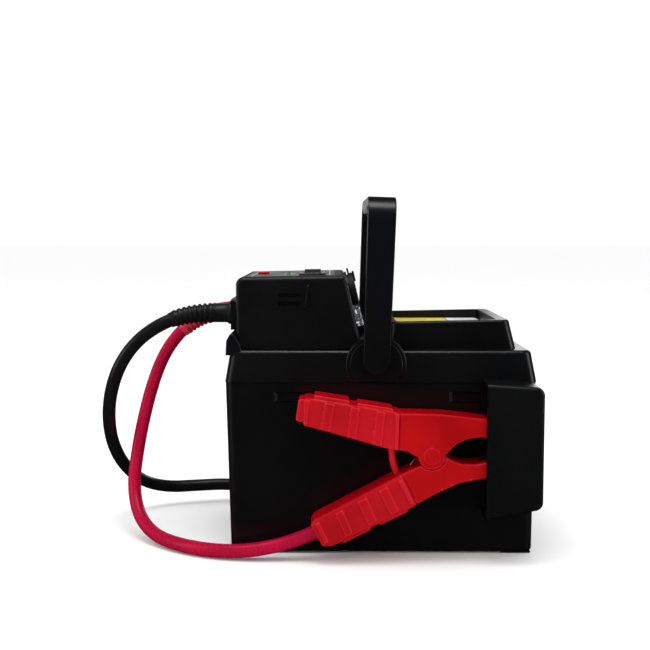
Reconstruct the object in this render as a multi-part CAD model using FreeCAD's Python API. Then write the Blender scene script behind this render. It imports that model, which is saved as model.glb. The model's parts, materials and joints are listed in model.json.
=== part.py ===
import FreeCAD, Part
import math
import os

V = FreeCAD.Vector
X = V(1, 0, 0)
Y = V(0, 1, 0)
Z = V(0, 0, 1)

# Frame: +X to the right, +Y to the back, +Z up; the origin is under the middle of the case, on the floor.

# ---- case and lid ----
CASE_TOP_X = 91.7          # half length at the tub's rim
CASE_LEFT_BOTTOM_X = -89.1
CASE_RIGHT_BOTTOM_X = 90.7
CASE_HALF_Y = 56.0
CASE_BOTTOM_HALF_Y = 55.2
CASE_BOTTOM_Z = 1.2
RIM_Z = 102.4              # tub's rim
WALL = 2.4
LID_BOTTOM_Z = 102.8
SHOULDER_Z = 121.6
LID_HALF_Y = 56.4
LID_X = 92.0
CORNER_R = 6.0

# ---- latch windows, one pair on each long side ----
WINDOW_X = (-51.0, 52.2)
WINDOW_HALF = 12.2
WINDOW_Z = (91.0, 97.0)

# ---- tray on the lid ----
DECK_LEFT = 6.2
DECK_RIGHT = 76.2
DECK_FOOT_RIGHT = 80.2
DECK_HALF_Y = 46.0
DECK_CORNER = 5.5
DECK_Z_LEFT = 137.6
DECK_Z_RIGHT = 139.0
TRAY_FLOOR_Z = 133.0
TRAY_X = (9.0, 70.0)
TRAY_HALF_Y = 42.6

# ---- handle ----
PIVOT_X = -2.8
PIVOT_Z = 116.0
ARM_INNER = 57.7
ARM_OUTER = 61.6
ARM_WIDTH_TOP = 16.6
ARM_WIDTH_LOW = 15.4
HANDLE_TOP_Z = 211.4
HANDLE_TOP_X = 0.4
BAR_THICK = 10.0
TRUNNION_R = 3.2
RUNNING = 0.06             # radial clearance of a pin that turns

# ---- control housing ----
HOUSING_LEFT = -85.5
HOUSING_HALF_Y = 50.0
HOUSING_Z = 121.9
HOUSING_TOP_LEFT_Z = 164.2
HOUSING_TOP_RIGHT = (-21.0, 165.3)
FACE_FOOT = (-10.6, 122.0)
FACE_SLOPE = (FACE_FOOT[0] - HOUSING_TOP_RIGHT[0]) / (HOUSING_TOP_RIGHT[1] - FACE_FOOT[1])
SHELL = 2.2
HOUSING_SCREW_X = (-79.5, -34.0)
HOUSING_SCREW_Y = (-42.0, 42.0)
POST_TOP_Z = 163.3
VENT_X = (-60.5, -47.5)
VENT_Z = (147.6, 152.4)
VENT_HIGH = 2.3
VENT_DEEP = 1.3
RECESS = (5.5, 58.5, 43.0)                         # label recess: from, to along the top, half depth
GLAND_X0 = -90.4
GLAND_X1 = -85.7
GLAND_SCREW_Y = (-25.5, 25.5)

# ---- on the housing's top: U runs along +X from the top's left end ----
BUTTON_U = 14.0
BUTTON_Y = -6.0
BUTTON_R = 3.6
ROCKER_U = 45.0
ROCKER_Y = -26.0
LED_U = 30.0
LED_Y = (-15.0, -9.0, -3.0, 3.0)

# ---- inside ----
BOARD_Z = 150.0
BOARD_POSTS = ((-74.0, -34.5), (-52.0, -34.5), (-75.0, 2.0), (-44.0, 2.0))
BATTERY = (-75.5, 75.5, -49.0, 49.0, 6.0, 98.0)    # x, x, y, y, z, z
TERMINAL_X = -68.0
TERMINAL_Y = 38.0

# ---- 12 V outlet, lamp and charging jack on the slanted face ----
OUTLET_Y = 19.0
OUTLET_ALONG = 30.5        # distance up the slanted face
OUTLET_BORE_R = 10.6
OUTLET_DEPTH = 34.0
CAP_R = 12.2
CAP_GAP = 1.9
CAP_THICK = 3.3
HINGE_ALONG = OUTLET_ALONG - CAP_R - 4.6
HINGE_OUT = 3.0
LIP_END = 0.9              # how near the cap's sealing lip comes to the outlet's face
LAMP_Y = -22.0
LAMP_ALONG = 18.0
JACK_Y = 41.0
JACK_R = 2.85

# ---- clamp pockets ----
POCKET_X = (59.0, 91.6)
POCKET_OUTER = 81.5
POCKET_INNER = 56.7
POCKET_WALL = 2.2
POCKET_MOUTH_Z = (26.7, 105.4)
POCKET_END_Z = (33.2, 103.2)
POCKET_SCREWS = ((68.0, 40.0), (68.0, 93.0))       # X and Z of each

# ---- clamps: profiles are in X and Z, shared by both clamps ----
CLAMP_Y = 69.0
CLAMP_HALF = 10.0
CLAMP_PIVOT = (28.2, 63.6)
LOBE_R = 7.6
LOBE_GAP = 0.6
KNUCKLE_HALF = 6.1
RIVET_R = 2.6
METAL_HALF = 4.2
COVER_HALF = 9.4
GRIP_HALF = 10.0
BRIDGE_D = 4.0             # the insulated wire that joins the two halves
BAND_PROUD = 1.3
RIDGE_HALF = 8.8
BOSS_R = 4.9

# ---- cables ----
CABLE_D = 8.2
EXIT_Y = 14.0
EXIT_Z = 140.6
BOOT_R = 6.9
CABLE_SOCKET = 9.0         # how far the cable goes into the grip
CABLE_TAIL = (-39.2, 0.0, 16.6)
CABLE_TAIL_WAY = (0.92, 0.0, 0.392)

os.makedirs("parts", exist_ok=True)
made = {}


def save(name, shape):
    """Write one node and remember it for the closing print."""
    made[name] = shape
    shape.exportStep("parts/" + name + ".step")


def box(x0, x1, y0, y1, z0, z1):
    return Part.makeBox(x1 - x0, y1 - y0, z1 - z0, V(x0, y0, z0))


def rod(radius, start, end):
    """A round bar from one point to another."""
    way = end - start
    return Part.makeCylinder(radius, way.Length, start, way)


def ring(outer, inner, start, end):
    long_start = start - (end - start) * 0.5
    long_end = end + (end - start) * 0.5
    return rod(outer, start, end).cut(rod(inner, long_start, long_end))


def compound(shapes):
    return Part.makeCompound(list(shapes))


def fused(shapes):
    shapes = list(shapes)
    return shapes[0].fuse(shapes[1:]).removeSplitter()


def outline(corners):
    """Closed wire in the XZ plane from (x, z, radius) corners, each corner an arc of its radius."""
    edges = []
    starts = []
    ends = []
    count = len(corners)
    for i, (x, z, radius) in enumerate(corners):
        here = V(x, 0, z)
        before = V(corners[i - 1][0], 0, corners[i - 1][1])
        after = V(corners[(i + 1) % count][0], 0, corners[(i + 1) % count][1])
        a = (before - here).normalize()
        b = (after - here).normalize()
        half = a.getAngle(b) / 2
        reach = radius / math.tan(half)
        starts.append(here + a * reach)
        ends.append(here + b * reach)
        if radius > 0:
            middle = (a + b).normalize()
            centre = here + middle * (radius / math.sin(half))
            edges.append(Part.Arc(starts[i], centre - middle * radius, ends[i]).toShape())
        else:
            edges.append(None)
    path = []
    for i in range(count):
        if edges[i]:
            path.append(edges[i])
        following = starts[(i + 1) % count]
        if (following - ends[i]).Length > 1e-6:
            path.append(Part.LineSegment(ends[i], following).toShape())
    return Part.Wire(Part.__sortEdges__(path))


def slab(corners, y0, y1):
    """An XZ outline made solid between two values of Y."""
    face = Part.Face(outline(corners))
    face.translate(V(0, y0, 0))
    return face.extrude(V(0, y1 - y0, 0))


def rounded_rectangle(x0, x1, half_y, z, radius):
    corners = [(x1, half_y), (x0, half_y), (x0, -half_y), (x1, -half_y)]
    flat = outline([(x, y, radius) for x, y in corners])
    flat.rotate(V(0, 0, 0), X, 90)
    flat.translate(V(0, 0, z))
    return flat


def drafted(low, high):
    """A block between two rounded rectangles, each (x0, x1, half_y, z, radius)."""
    return Part.makeLoft([rounded_rectangle(*low), rounded_rectangle(*high)], True, True)


def softened(shape, radius, wanted):
    """Round the edges whose midpoint and direction pass the test."""
    edges = []
    for edge in shape.Edges:
        if edge.Length > 0.3 and wanted(edge.valueAt((edge.FirstParameter + edge.LastParameter) / 2), edge):
            edges.append(edge)
    return shape.makeFillet(radius, edges)


def side_rims(half):
    """Picks the edges on both flat sides of a piece that is centred on Y = 0."""
    return lambda middle, edge: abs(abs(middle.y) - half) < 1e-4


def mirrored(shape):
    """The same piece on the other long side."""
    return shape.mirror(V(0, 0, 0), Y)


# ---------------------------------------------------------------- case tub
def case_tub():
    low = (CASE_LEFT_BOTTOM_X, CASE_RIGHT_BOTTOM_X, CASE_BOTTOM_HALF_Y, CASE_BOTTOM_Z, CORNER_R)
    high = (-CASE_TOP_X, CASE_TOP_X, CASE_HALF_Y, RIM_Z, CORNER_R)
    outer = drafted(low, high)
    outer = softened(outer, 1.6, lambda m, e: abs(m.z - CASE_BOTTOM_Z) < 1e-4)
    inner_low = (
        CASE_LEFT_BOTTOM_X + WALL, CASE_RIGHT_BOTTOM_X - WALL, CASE_BOTTOM_HALF_Y - WALL, CASE_BOTTOM_Z + 2.8,
        CORNER_R - WALL,
    )
    inner_high = (-CASE_TOP_X + WALL, CASE_TOP_X - WALL, CASE_HALF_Y - WALL, RIM_Z + 5, CORNER_R - WALL)
    tub = outer.cut(drafted(inner_low, inner_high))
    windows = []
    for centre in WINDOW_X:
        windows.append(box(centre - WINDOW_HALF, centre + WINDOW_HALF, -60, 60, *WINDOW_Z))
    tub = tub.cut(compound(windows))
    ribs = []
    for x in (-80.5, 78.5):
        for y in (-30.0, 0.0, 30.0):
            ribs.append(box(x, x + 2.0, y - 6, y + 6, CASE_BOTTOM_Z + 2, 60))
    tub = fused([tub] + ribs)
    holes = []
    for x, z in POCKET_SCREWS:
        holes.append(rod(1.6, V(x, -60, z), V(x, 60, z)))
    return tub.cut(compound(holes))


def feet():
    pads = []
    for x0, x1 in ((-88.0, -69.0), (72.0, 89.5)):
        for y0 in (-54.0, 41.0):
            pad = box(x0, x1, y0, y0 + 13, 0, CASE_BOTTOM_Z)
            pad = pad.makeChamfer(0.5, [e for e in pad.Edges if abs(e.CenterOfMass.z) < 1e-4])
            pads.append(pad)
    return pads


# ---------------------------------------------------------------- lid
def deck_corners(inset, z_drop):
    """The raised tray's profile, drawn in by a wall thickness and lowered."""
    return [
        (DECK_LEFT - 1.6 + inset, SHOULDER_Z - 4, 0),
        (DECK_LEFT + inset, DECK_Z_LEFT - z_drop, 2.4),
        (DECK_RIGHT - inset, DECK_Z_RIGHT - z_drop, 3.0),
        (DECK_FOOT_RIGHT - inset, 125.0, 3.0),
        (DECK_FOOT_RIGHT + 1.8 - inset, SHOULDER_Z - 4, 0),
    ]


def deck_block():
    """The raised tray's outside: walls that lean in, round corners and a top that rises to the right."""
    low = (DECK_LEFT - 1.6, DECK_FOOT_RIGHT + 1.8, DECK_HALF_Y, SHOULDER_Z - 4, DECK_CORNER)
    high = (DECK_LEFT, DECK_RIGHT - 0.4, DECK_HALF_Y, DECK_Z_RIGHT + 3, DECK_CORNER)
    rise = (DECK_Z_RIGHT - DECK_Z_LEFT) / (DECK_RIGHT - DECK_LEFT)
    reach = 20
    below = slab(
        [
            (DECK_LEFT - reach, SHOULDER_Z - 6, 0), (DECK_LEFT - reach, DECK_Z_LEFT - reach * rise, 0),
            (DECK_RIGHT + reach, DECK_Z_RIGHT + reach * rise, 0), (DECK_RIGHT + reach, SHOULDER_Z - 6, 0),
        ],
        -60, 60,
    )
    block = drafted(low, high).common(below)
    return softened(block, 1.6, lambda m, e: m.z > DECK_Z_LEFT - 1)


def arch(y0, y1, outer, soft):
    """The boss around a handle pivot: an arch that stands above the shoulder."""
    round_part = rod(outer, V(PIVOT_X, y0, PIVOT_Z - 3), V(PIVOT_X, y1, PIVOT_Z - 3))
    face = y0 if abs(y0) > abs(y1) else y1
    round_part = softened(round_part, soft, lambda m, e: abs(m.y - face) < 1e-4)
    keep = box(PIVOT_X - 30, PIVOT_X + 30, y0 - 1, y1 + 1, LID_BOTTOM_Z + 0.4, 150)
    return round_part.common(keep)


def lid_cover():
    low = (-LID_X, LID_X, LID_HALF_Y, LID_BOTTOM_Z, CORNER_R)
    high = (-LID_X + 3.2, LID_X - 3.6, LID_HALF_Y - 1.6, SHOULDER_Z, CORNER_R)
    outer = drafted(low, high)
    outer = softened(outer, 2.6, lambda m, e: abs(m.z - SHOULDER_Z) < 1e-4)
    rim = slab(
        [
            (-91.4, SHOULDER_Z - 3.0, 0), (-91.0, 127.0, 1.2), (-88.8, 131.2, 2.0), (-86.4, 131.2, 1.4),
            (-82.4, 124.0, 1.0), (-81.8, SHOULDER_Z - 3.0, 0),
        ],
        -54.6, 54.6,
    )
    rim = softened(rim, 1.0, lambda m, e: abs(abs(m.y) - 54.6) < 1e-4 and m.z > SHOULDER_Z - 1)
    rim = rim.cut(box(HOUSING_LEFT - 0.4, -70, -HOUSING_HALF_Y - 0.6, HOUSING_HALF_Y + 0.6, SHOULDER_Z, 140))
    arches = []
    for side in (-1, 1):
        inner_y = side * (HOUSING_HALF_Y + 0.5)
        arches.append(arch(min(inner_y, side * 56.6), max(inner_y, side * 56.6), 18.0, 1.3))
        arches.append(arch(min(inner_y, side * 57.3), max(inner_y, side * 57.3), 15.6, 0.6))
    body = fused([outer, deck_block(), rim])
    inner_low = (-LID_X + WALL, LID_X - WALL, LID_HALF_Y - WALL, LID_BOTTOM_Z - 5, CORNER_R - WALL)
    inner_high = (-LID_X + 6.0, LID_X - 6.4, LID_HALF_Y - 4.2, SHOULDER_Z - 2.6, CORNER_R - WALL)
    body = body.cut(drafted(inner_low, inner_high))
    body = body.cut(slab(deck_corners(WALL, 9.0), -DECK_HALF_Y + WALL, DECK_HALF_Y - WALL))
    tray = drafted(
        (TRAY_X[0] + 1, TRAY_X[1] - 1, TRAY_HALF_Y - 1, TRAY_FLOOR_Z, 4.0),
        (TRAY_X[0], TRAY_X[1], TRAY_HALF_Y, TRAY_FLOOR_Z + 12, 5.0),
    )
    body = fused([body.cut(tray)] + arches)
    cuts = [box(-74, -40, -46, 46, SHOULDER_Z - 6, SHOULDER_Z + 2)]
    for x in HOUSING_SCREW_X:
        for y in HOUSING_SCREW_Y:
            cuts.append(rod(1.7, V(x, y, SHOULDER_Z - 6), V(x, y, SHOULDER_Z + 2)))
    for side in (-1, 1):
        cuts.append(rod(TRUNNION_R + RUNNING, V(PIVOT_X, side * 52, PIVOT_Z), V(PIVOT_X, side * 60, PIVOT_Z)))
        cuts.append(rod(4.9, V(PIVOT_X, side * 48, PIVOT_Z), V(PIVOT_X, side * 53, PIVOT_Z)))
    body = body.cut(compound(cuts))
    hooks = []
    for centre in WINDOW_X:
        for side in (-1, 1):
            stem = box(centre - 10, centre + 10, 51.6, 53.2, WINDOW_Z[0] + 0.6, SHOULDER_Z - 4)
            nub = box(centre - 10, centre + 10, 52.0, 54.9, WINDOW_Z[0] + 0.6, WINDOW_Z[1] - 0.5)
            root = box(centre - 10, centre + 10, 51.6, 54.6, LID_BOTTOM_Z + 1, SHOULDER_Z - 4)
            hook = fused([stem, nub, root])
            hooks.append(hook if side > 0 else mirrored(hook))
    return fused([body] + hooks)


def tray_label():
    edge = 1.5
    return drafted(
        (TRAY_X[0] + edge + 1, TRAY_X[1] - edge - 1, TRAY_HALF_Y - edge - 1, TRAY_FLOOR_Z, 3.0),
        (TRAY_X[0] + edge + 1, TRAY_X[1] - edge - 1, TRAY_HALF_Y - edge - 1, TRAY_FLOOR_Z + 0.3, 3.0),
    )


# ---------------------------------------------------------------- handle
def handle_lean():
    return math.atan2(HANDLE_TOP_X - PIVOT_X, HANDLE_TOP_Z - PIVOT_Z)


def carry_handle():
    """Built upright over the pivot, then leaned back to where it rests."""
    height = HANDLE_TOP_Z - PIVOT_Z
    low = ARM_WIDTH_LOW / 2
    top = ARM_WIDTH_TOP / 2
    corners = [(-low, -low, low - 0.05), (-top, height, 0), (top, height, 0), (low, -low, low - 0.05)]
    side = slab(corners, -70, 70)
    corner = 13.0
    profile = drafted_frame(height, corner)
    bail = profile.common(side)
    bail = bail.makeFillet(0.8, bail.Edges)
    grip = box(-top, top, -38, 38, height - BAR_THICK, height)
    along = [e for e in grip.Edges if abs(e.tangentAt(e.FirstParameter).y) > 0.99]
    grip = grip.makeFillet(3.6, along)
    bail = fused([bail, grip])
    pins = []
    for way in (-1, 1):
        pin = rod(TRUNNION_R, V(0, way * (ARM_INNER + 0.5), 0), V(0, way * 53.4, 0))
        pins.append(pin)
    bail = fused([bail] + pins)
    bores = [rod(1.4, V(0, way * 50, 0), V(0, way * 60.2, 0)) for way in (-1, 1)]
    bail = bail.cut(compound(bores))
    bail.rotate(V(0, 0, 0), Y, math.degrees(handle_lean()))
    bail.translate(V(PIVOT_X, 0, PIVOT_Z))
    return bail


def drafted_frame(height, corner):
    """The bail's U, seen along X: flat arms, round corners and a thicker bar on top."""
    arm = ARM_OUTER - ARM_INNER
    outer = frame_face(ARM_OUTER, height, corner)
    inner = frame_face(ARM_INNER, height - 6.0, corner - arm)
    u_shape = outer.cut(inner)
    shape = u_shape.extrude(V(30, 0, 0))
    shape.translate(V(-15, 0, 0))
    return shape


def frame_face(half_y, top, corner):
    k = corner * (1 - math.sqrt(0.5))
    bottom = -12.0
    points = [V(0, -half_y, bottom), V(0, -half_y, top - corner), V(0, -half_y + k, top - k)]
    points.append(V(0, -half_y + corner, top))
    far = [V(0, -point.y, point.z) for point in reversed(points)]
    edges = [
        Part.LineSegment(points[0], points[1]).toShape(),
        Part.Arc(points[1], points[2], points[3]).toShape(),
        Part.LineSegment(points[3], far[0]).toShape(),
        Part.Arc(far[0], far[1], far[2]).toShape(),
        Part.LineSegment(far[2], far[3]).toShape(),
        Part.LineSegment(far[3], points[0]).toShape(),
    ]
    return Part.Face(Part.Wire(edges))


def pivot_fasteners():
    """Screws and washers that hold the handle's trunnions in the lid."""
    screws = []
    washers = []
    for way in (-1, 1):
        head = rod(3.6, V(0, way * 50.6, 0), V(0, way * 52.1, 0))
        shank = rod(1.4, V(0, way * 52.0, 0), V(0, way * 59.6, 0))
        drive = rod(1.6, V(0, way * 50.2, 0), V(0, way * 51.2, 0))
        screws.append(head.fuse(shank).cut(drive))
        washers.append(ring(4.6, 1.45, V(0, way * 52.15, 0), V(0, way * 52.95, 0)))
    for piece in screws + washers:
        piece.translate(V(PIVOT_X, 0, PIVOT_Z))
    return screws, washers


# ---------------------------------------------------------------- control housing
def housing_corners(inset):
    top_left = HOUSING_TOP_LEFT_Z - inset
    head_x, head_z = HOUSING_TOP_RIGHT
    return [
        (HOUSING_LEFT + inset, HOUSING_Z - (5 if inset else 0), 0),
        (HOUSING_LEFT + inset, top_left, 4.5 - inset * 0.6),
        (head_x - inset * 0.9, head_z - inset, 2.4 - inset * 0.6),
        (FACE_FOOT[0] - inset * 1.03 + (5 * FACE_SLOPE if inset else 0), HOUSING_Z - (5 if inset else 0), 0),
    ]


def face_frame():
    """Origin, up direction and outward normal of the slanted face."""
    foot = V(FACE_FOOT[0], 0, FACE_FOOT[1])
    up = V(HOUSING_TOP_RIGHT[0] - FACE_FOOT[0], 0, HOUSING_TOP_RIGHT[1] - FACE_FOOT[1]).normalize()
    normal = V(up.z, 0, -up.x)
    return foot, up, normal


FOOT, UP, OUT = face_frame()
TILT = math.degrees(math.atan2(-UP.x, UP.z))


def face_point(along, y, out):
    return FOOT + UP * along + Y * y + OUT * out


def face_box(along0, along1, y0, y1, out0, out1):
    """A box whose sides follow the slanted face."""
    shape = box(out0, out1, y0, y1, along0, along1)
    shape.rotate(V(0, 0, 0), Y, -TILT)
    shape.translate(FOOT)
    return shape


TOP_START = V(HOUSING_LEFT, 0, HOUSING_TOP_LEFT_Z)
TOP_WAY = (V(HOUSING_TOP_RIGHT[0], 0, HOUSING_TOP_RIGHT[1]) - TOP_START).normalize()
TOP_OUT = V(-TOP_WAY.z, 0, TOP_WAY.x)
TOP_TILT = math.degrees(math.atan2(TOP_WAY.z, TOP_WAY.x))


def on_top(shape):
    """Place a piece drawn on a flat top, with u along +X from the top's left end and z = 0 on the top."""
    placed = shape.copy()
    placed.rotate(V(0, 0, 0), Y, -TOP_TILT)
    placed.translate(TOP_START)
    return placed


def control_housing():
    shell = slab(housing_corners(0), -HOUSING_HALF_Y, HOUSING_HALF_Y)
    shell = softened(shell, 2.6, lambda m, e: abs(abs(m.y) - HOUSING_HALF_Y) < 1e-4 and m.z > HOUSING_Z + 0.5)
    inner = slab(housing_corners(SHELL), -HOUSING_HALF_Y + SHELL, HOUSING_HALF_Y - SHELL)
    shell = shell.cut(inner)
    bosses = []
    for x in HOUSING_SCREW_X:
        for y in HOUSING_SCREW_Y:
            post = ring(3.6, 1.3, V(x, y, HOUSING_Z + 0.2), V(x, y, 150.0))
            bosses.append(post)
            bosses.append(rod(3.6, V(x, y, 150.0), V(x, y, POST_TOP_Z)))
    for x, y in BOARD_POSTS:
        bosses.append(rod(2.5, V(x, y, BOARD_Z + 1.6), V(x, y, POST_TOP_Z)))
    shell = fused([shell] + bosses)
    cuts = []
    for side in (-1, 1):
        outer = side * (HOUSING_HALF_Y + 1)
        inner = side * (HOUSING_HALF_Y - VENT_DEEP)
        for z in VENT_Z:
            cuts.append(box(*VENT_X, min(outer, inner), max(outer, inner), z, z + VENT_HIGH))
    u, half_v, half_y = RECESS
    cuts.append(on_top(box(u, half_v, -half_y, half_y, -0.4, 3)))
    cuts.append(on_top(rod(BUTTON_R + 0.35, V(BUTTON_U, BUTTON_Y, -6), V(BUTTON_U, BUTTON_Y, 2))))
    cuts.append(on_top(box(ROCKER_U - 6.6, ROCKER_U + 6.6, ROCKER_Y - 9.6, ROCKER_Y + 9.6, -6, 2)))
    for y in LED_Y:
        cuts.append(on_top(rod(1.7, V(LED_U, y, -6), V(LED_U, y, 2))))
    cuts.append(rod(OUTLET_BORE_R + 1.1, outlet_point(-8), outlet_point(3)))
    cuts.append(face_box(LAMP_ALONG - 5.6, LAMP_ALONG + 5.6, LAMP_Y - 13.2, LAMP_Y + 13.2, -6, 2))
    cuts.append(rod(4.1, face_point(OUTLET_ALONG - 4, JACK_Y, -6), face_point(OUTLET_ALONG - 4, JACK_Y, 3)))
    for y in (-EXIT_Y, EXIT_Y):
        cuts.append(rod(CABLE_D / 2 + 1.6, V(HOUSING_LEFT - 2, y, EXIT_Z), V(HOUSING_LEFT + 6, y, EXIT_Z)))
    for y in GLAND_SCREW_Y:
        cuts.append(rod(1.3, V(HOUSING_LEFT - 2, y, EXIT_Z), V(HOUSING_LEFT + 6, y, EXIT_Z)))
    shell = shell.cut(compound(cuts))
    ribs = []
    for side in (-1, 1):
        corners = [(-45.1, 146.2, 0.3), (-43.4, 159.8, 0.3), (-41.9, 159.8, 0.3), (-43.6, 146.2, 0.3)]
        rib_face = HOUSING_HALF_Y + 1.1
        rib = slab(corners, HOUSING_HALF_Y - 0.5, rib_face)
        rib = softened(rib, 0.5, lambda m, e: abs(m.y - rib_face) < 1e-4)
        ribs.append(rib if side > 0 else mirrored(rib))
    return fused([shell] + ribs)


def panel_overlay():
    u0, u1, half_y = RECESS
    sheet = box(u0 + 0.2, u1 - 0.2, -half_y + 0.2, half_y - 0.2, -0.4, 0.1)
    holes = [rod(BUTTON_R + 0.35, V(BUTTON_U, BUTTON_Y, -2), V(BUTTON_U, BUTTON_Y, 2))]
    holes.append(box(ROCKER_U - 6.6, ROCKER_U + 6.6, ROCKER_Y - 9.6, ROCKER_Y + 9.6, -2, 2))
    for y in LED_Y:
        holes.append(rod(1.7, V(LED_U, y, -2), V(LED_U, y, 2)))
    return on_top(sheet.cut(compound(holes)))


def test_button():
    head = rod(BUTTON_R, V(BUTTON_U, BUTTON_Y, -3.6), V(BUTTON_U, BUTTON_Y, 1.5))
    head = head.makeFillet(0.5, [e for e in head.Edges if e.CenterOfMass.z > 1.4 and len(e.Vertexes) == 1])
    flange = rod(BUTTON_R + 1.2, V(BUTTON_U, BUTTON_Y, -3.6), V(BUTTON_U, BUTTON_Y, -2.7))
    return on_top(fused([head, flange]))


def rocker_bezel():
    outer = box(ROCKER_U - 8.0, ROCKER_U + 8.0, ROCKER_Y - 11.0, ROCKER_Y + 11.0, 0.12, 1.3)
    outer = outer.makeFillet(0.6, [e for e in outer.Edges if e.CenterOfMass.z > 1.25])
    skirt = box(ROCKER_U - 6.4, ROCKER_U + 6.4, ROCKER_Y - 9.4, ROCKER_Y + 9.4, -11, 0.6)
    well = box(ROCKER_U - 5.2, ROCKER_U + 5.2, ROCKER_Y - 8.2, ROCKER_Y + 8.2, -9.5, 5)
    pins = rod(0.8 + RUNNING, V(ROCKER_U - 6.0, ROCKER_Y, -1.5), V(ROCKER_U + 6.0, ROCKER_Y, -1.5))
    return on_top(fused([outer, skirt]).cut(well).cut(pins))


def rocker_key():
    """A rocker that sits tipped to its off side; its axis is along the housing's length."""
    key = [
        (-7.7, 1.2, 0.5), (-0.2, 1.2, 1.5), (7.6, 3.3, 0.6), (7.2, -2.4, 0.5), (2.2, -4.4, 1.0),
        (-7.3, -3.2, 0.6),
    ]
    body = slab(key, -4.9, 4.9)
    body.rotate(V(0, 0, 0), Z, 90)
    body.translate(V(ROCKER_U, ROCKER_Y, 0))
    pins = rod(0.8, V(ROCKER_U - 5.9, ROCKER_Y, -1.5), V(ROCKER_U + 5.9, ROCKER_Y, -1.5))
    return on_top(fused([body, pins]))


def status_leds():
    lamps = []
    for y in LED_Y:
        stem = rod(1.5, V(LED_U, y, -7.0), V(LED_U, y, -0.3))
        dome = Part.makeSphere(1.5, V(LED_U, y, -0.3))
        flange = rod(1.9, V(LED_U, y, -8.0), V(LED_U, y, -6.8))
        lamps.append(on_top(fused([stem, dome, flange])))
    return lamps


# ---------------------------------------------------------------- outlet, lamp, jack
def outlet_point(out):
    """A point on the outlet's centre line, at a height above the slanted face."""
    return face_point(OUTLET_ALONG, OUTLET_Y, out)


def outlet_parts():
    inner = outlet_point(-OUTLET_DEPTH)
    barrel = ring(OUTLET_BORE_R + 0.9, OUTLET_BORE_R, inner, outlet_point(0.6))
    bezel = rod(13.6, outlet_point(0.02), outlet_point(1.2))
    bezel = bezel.cut(rod(OUTLET_BORE_R + 0.95, outlet_point(-3), outlet_point(3)))
    flat_from = OUTLET_ALONG - 16
    bezel = bezel.cut(face_box(flat_from, flat_from + 4.2, OUTLET_Y - 20, OUTLET_Y + 20, 0, 3))
    knuckles = []
    for side in (-1, 1):
        y0 = OUTLET_Y + side * 7.0
        lug = face_box(HINGE_ALONG - 1.9, HINGE_ALONG + 6.8, y0 - 1.5, y0 + 1.5, 0.02, 1.2)
        ear_start = face_point(HINGE_ALONG, y0 - 1.5, HINGE_OUT)
        ear = rod(1.8, ear_start, ear_start + Y * 3.0)
        web = face_box(HINGE_ALONG - 1.8, HINGE_ALONG + 1.8, y0 - 1.5, y0 + 1.5, 0.3, HINGE_OUT)
        knuckles += [lug, ear, web]
    bezel = fused([bezel] + knuckles)
    pin_start = face_point(HINGE_ALONG, OUTLET_Y - 9, HINGE_OUT)
    bezel = bezel.cut(rod(0.8 + RUNNING, pin_start, pin_start + Y * 18))
    back = rod(OUTLET_BORE_R + 0.9, outlet_point(-OUTLET_DEPTH - 2.5), inner)
    back = back.cut(rod(2.0, outlet_point(-OUTLET_DEPTH - 4), outlet_point(0)))
    back = back.cut(rod(3.5, outlet_point(-OUTLET_DEPTH - 1.3), outlet_point(0)))
    contact = rod(2.0, outlet_point(-OUTLET_DEPTH - 5), outlet_point(-OUTLET_DEPTH - 0.6))
    button = rod(3.4, outlet_point(-OUTLET_DEPTH - 1.3), outlet_point(-OUTLET_DEPTH - 0.1))
    return barrel, bezel, back, contact.fuse(button)


def outlet_cap():
    low = CAP_GAP
    high = CAP_GAP + CAP_THICK
    cap = rod(CAP_R, outlet_point(low), outlet_point(high))
    rims = [e for e in cap.Edges if len(e.Vertexes) == 1]
    cap = cap.makeFillet(1.0, [e for e in rims if e.CenterOfMass.sub(FOOT).dot(OUT) > high - 0.1])
    lip = ring(OUTLET_BORE_R + 0.8, OUTLET_BORE_R + 0.3, outlet_point(LIP_END), outlet_point(low + 0.5))
    top = OUTLET_ALONG + CAP_R
    tabs = [
        face_box(top - 2.5, top + 3.2, OUTLET_Y - 4.5, OUTLET_Y + 4.5, low, low + 1.1),
        face_box(top - 6.0, top + 0.6, OUTLET_Y - 3.0, OUTLET_Y + 3.0, high - 0.3, high + 1.0),
    ]
    arm = face_box(HINGE_ALONG, OUTLET_ALONG - 8, OUTLET_Y - 5.2, OUTLET_Y + 5.2, low + 0.1, high - 0.5)
    barrel_start = face_point(HINGE_ALONG, OUTLET_Y - 5.2, HINGE_OUT)
    knuckle = rod(1.5, barrel_start, barrel_start + Y * 10.4)
    cap = fused([cap, lip, arm, knuckle] + tabs)
    pin_start = face_point(HINGE_ALONG, OUTLET_Y - 9, HINGE_OUT)
    return cap.cut(rod(0.8 + RUNNING, pin_start, pin_start + Y * 18))


def cap_pin():
    start = face_point(HINGE_ALONG, OUTLET_Y - 8.4, HINGE_OUT)
    return rod(0.8, start, start + Y * 16.8)


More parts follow.
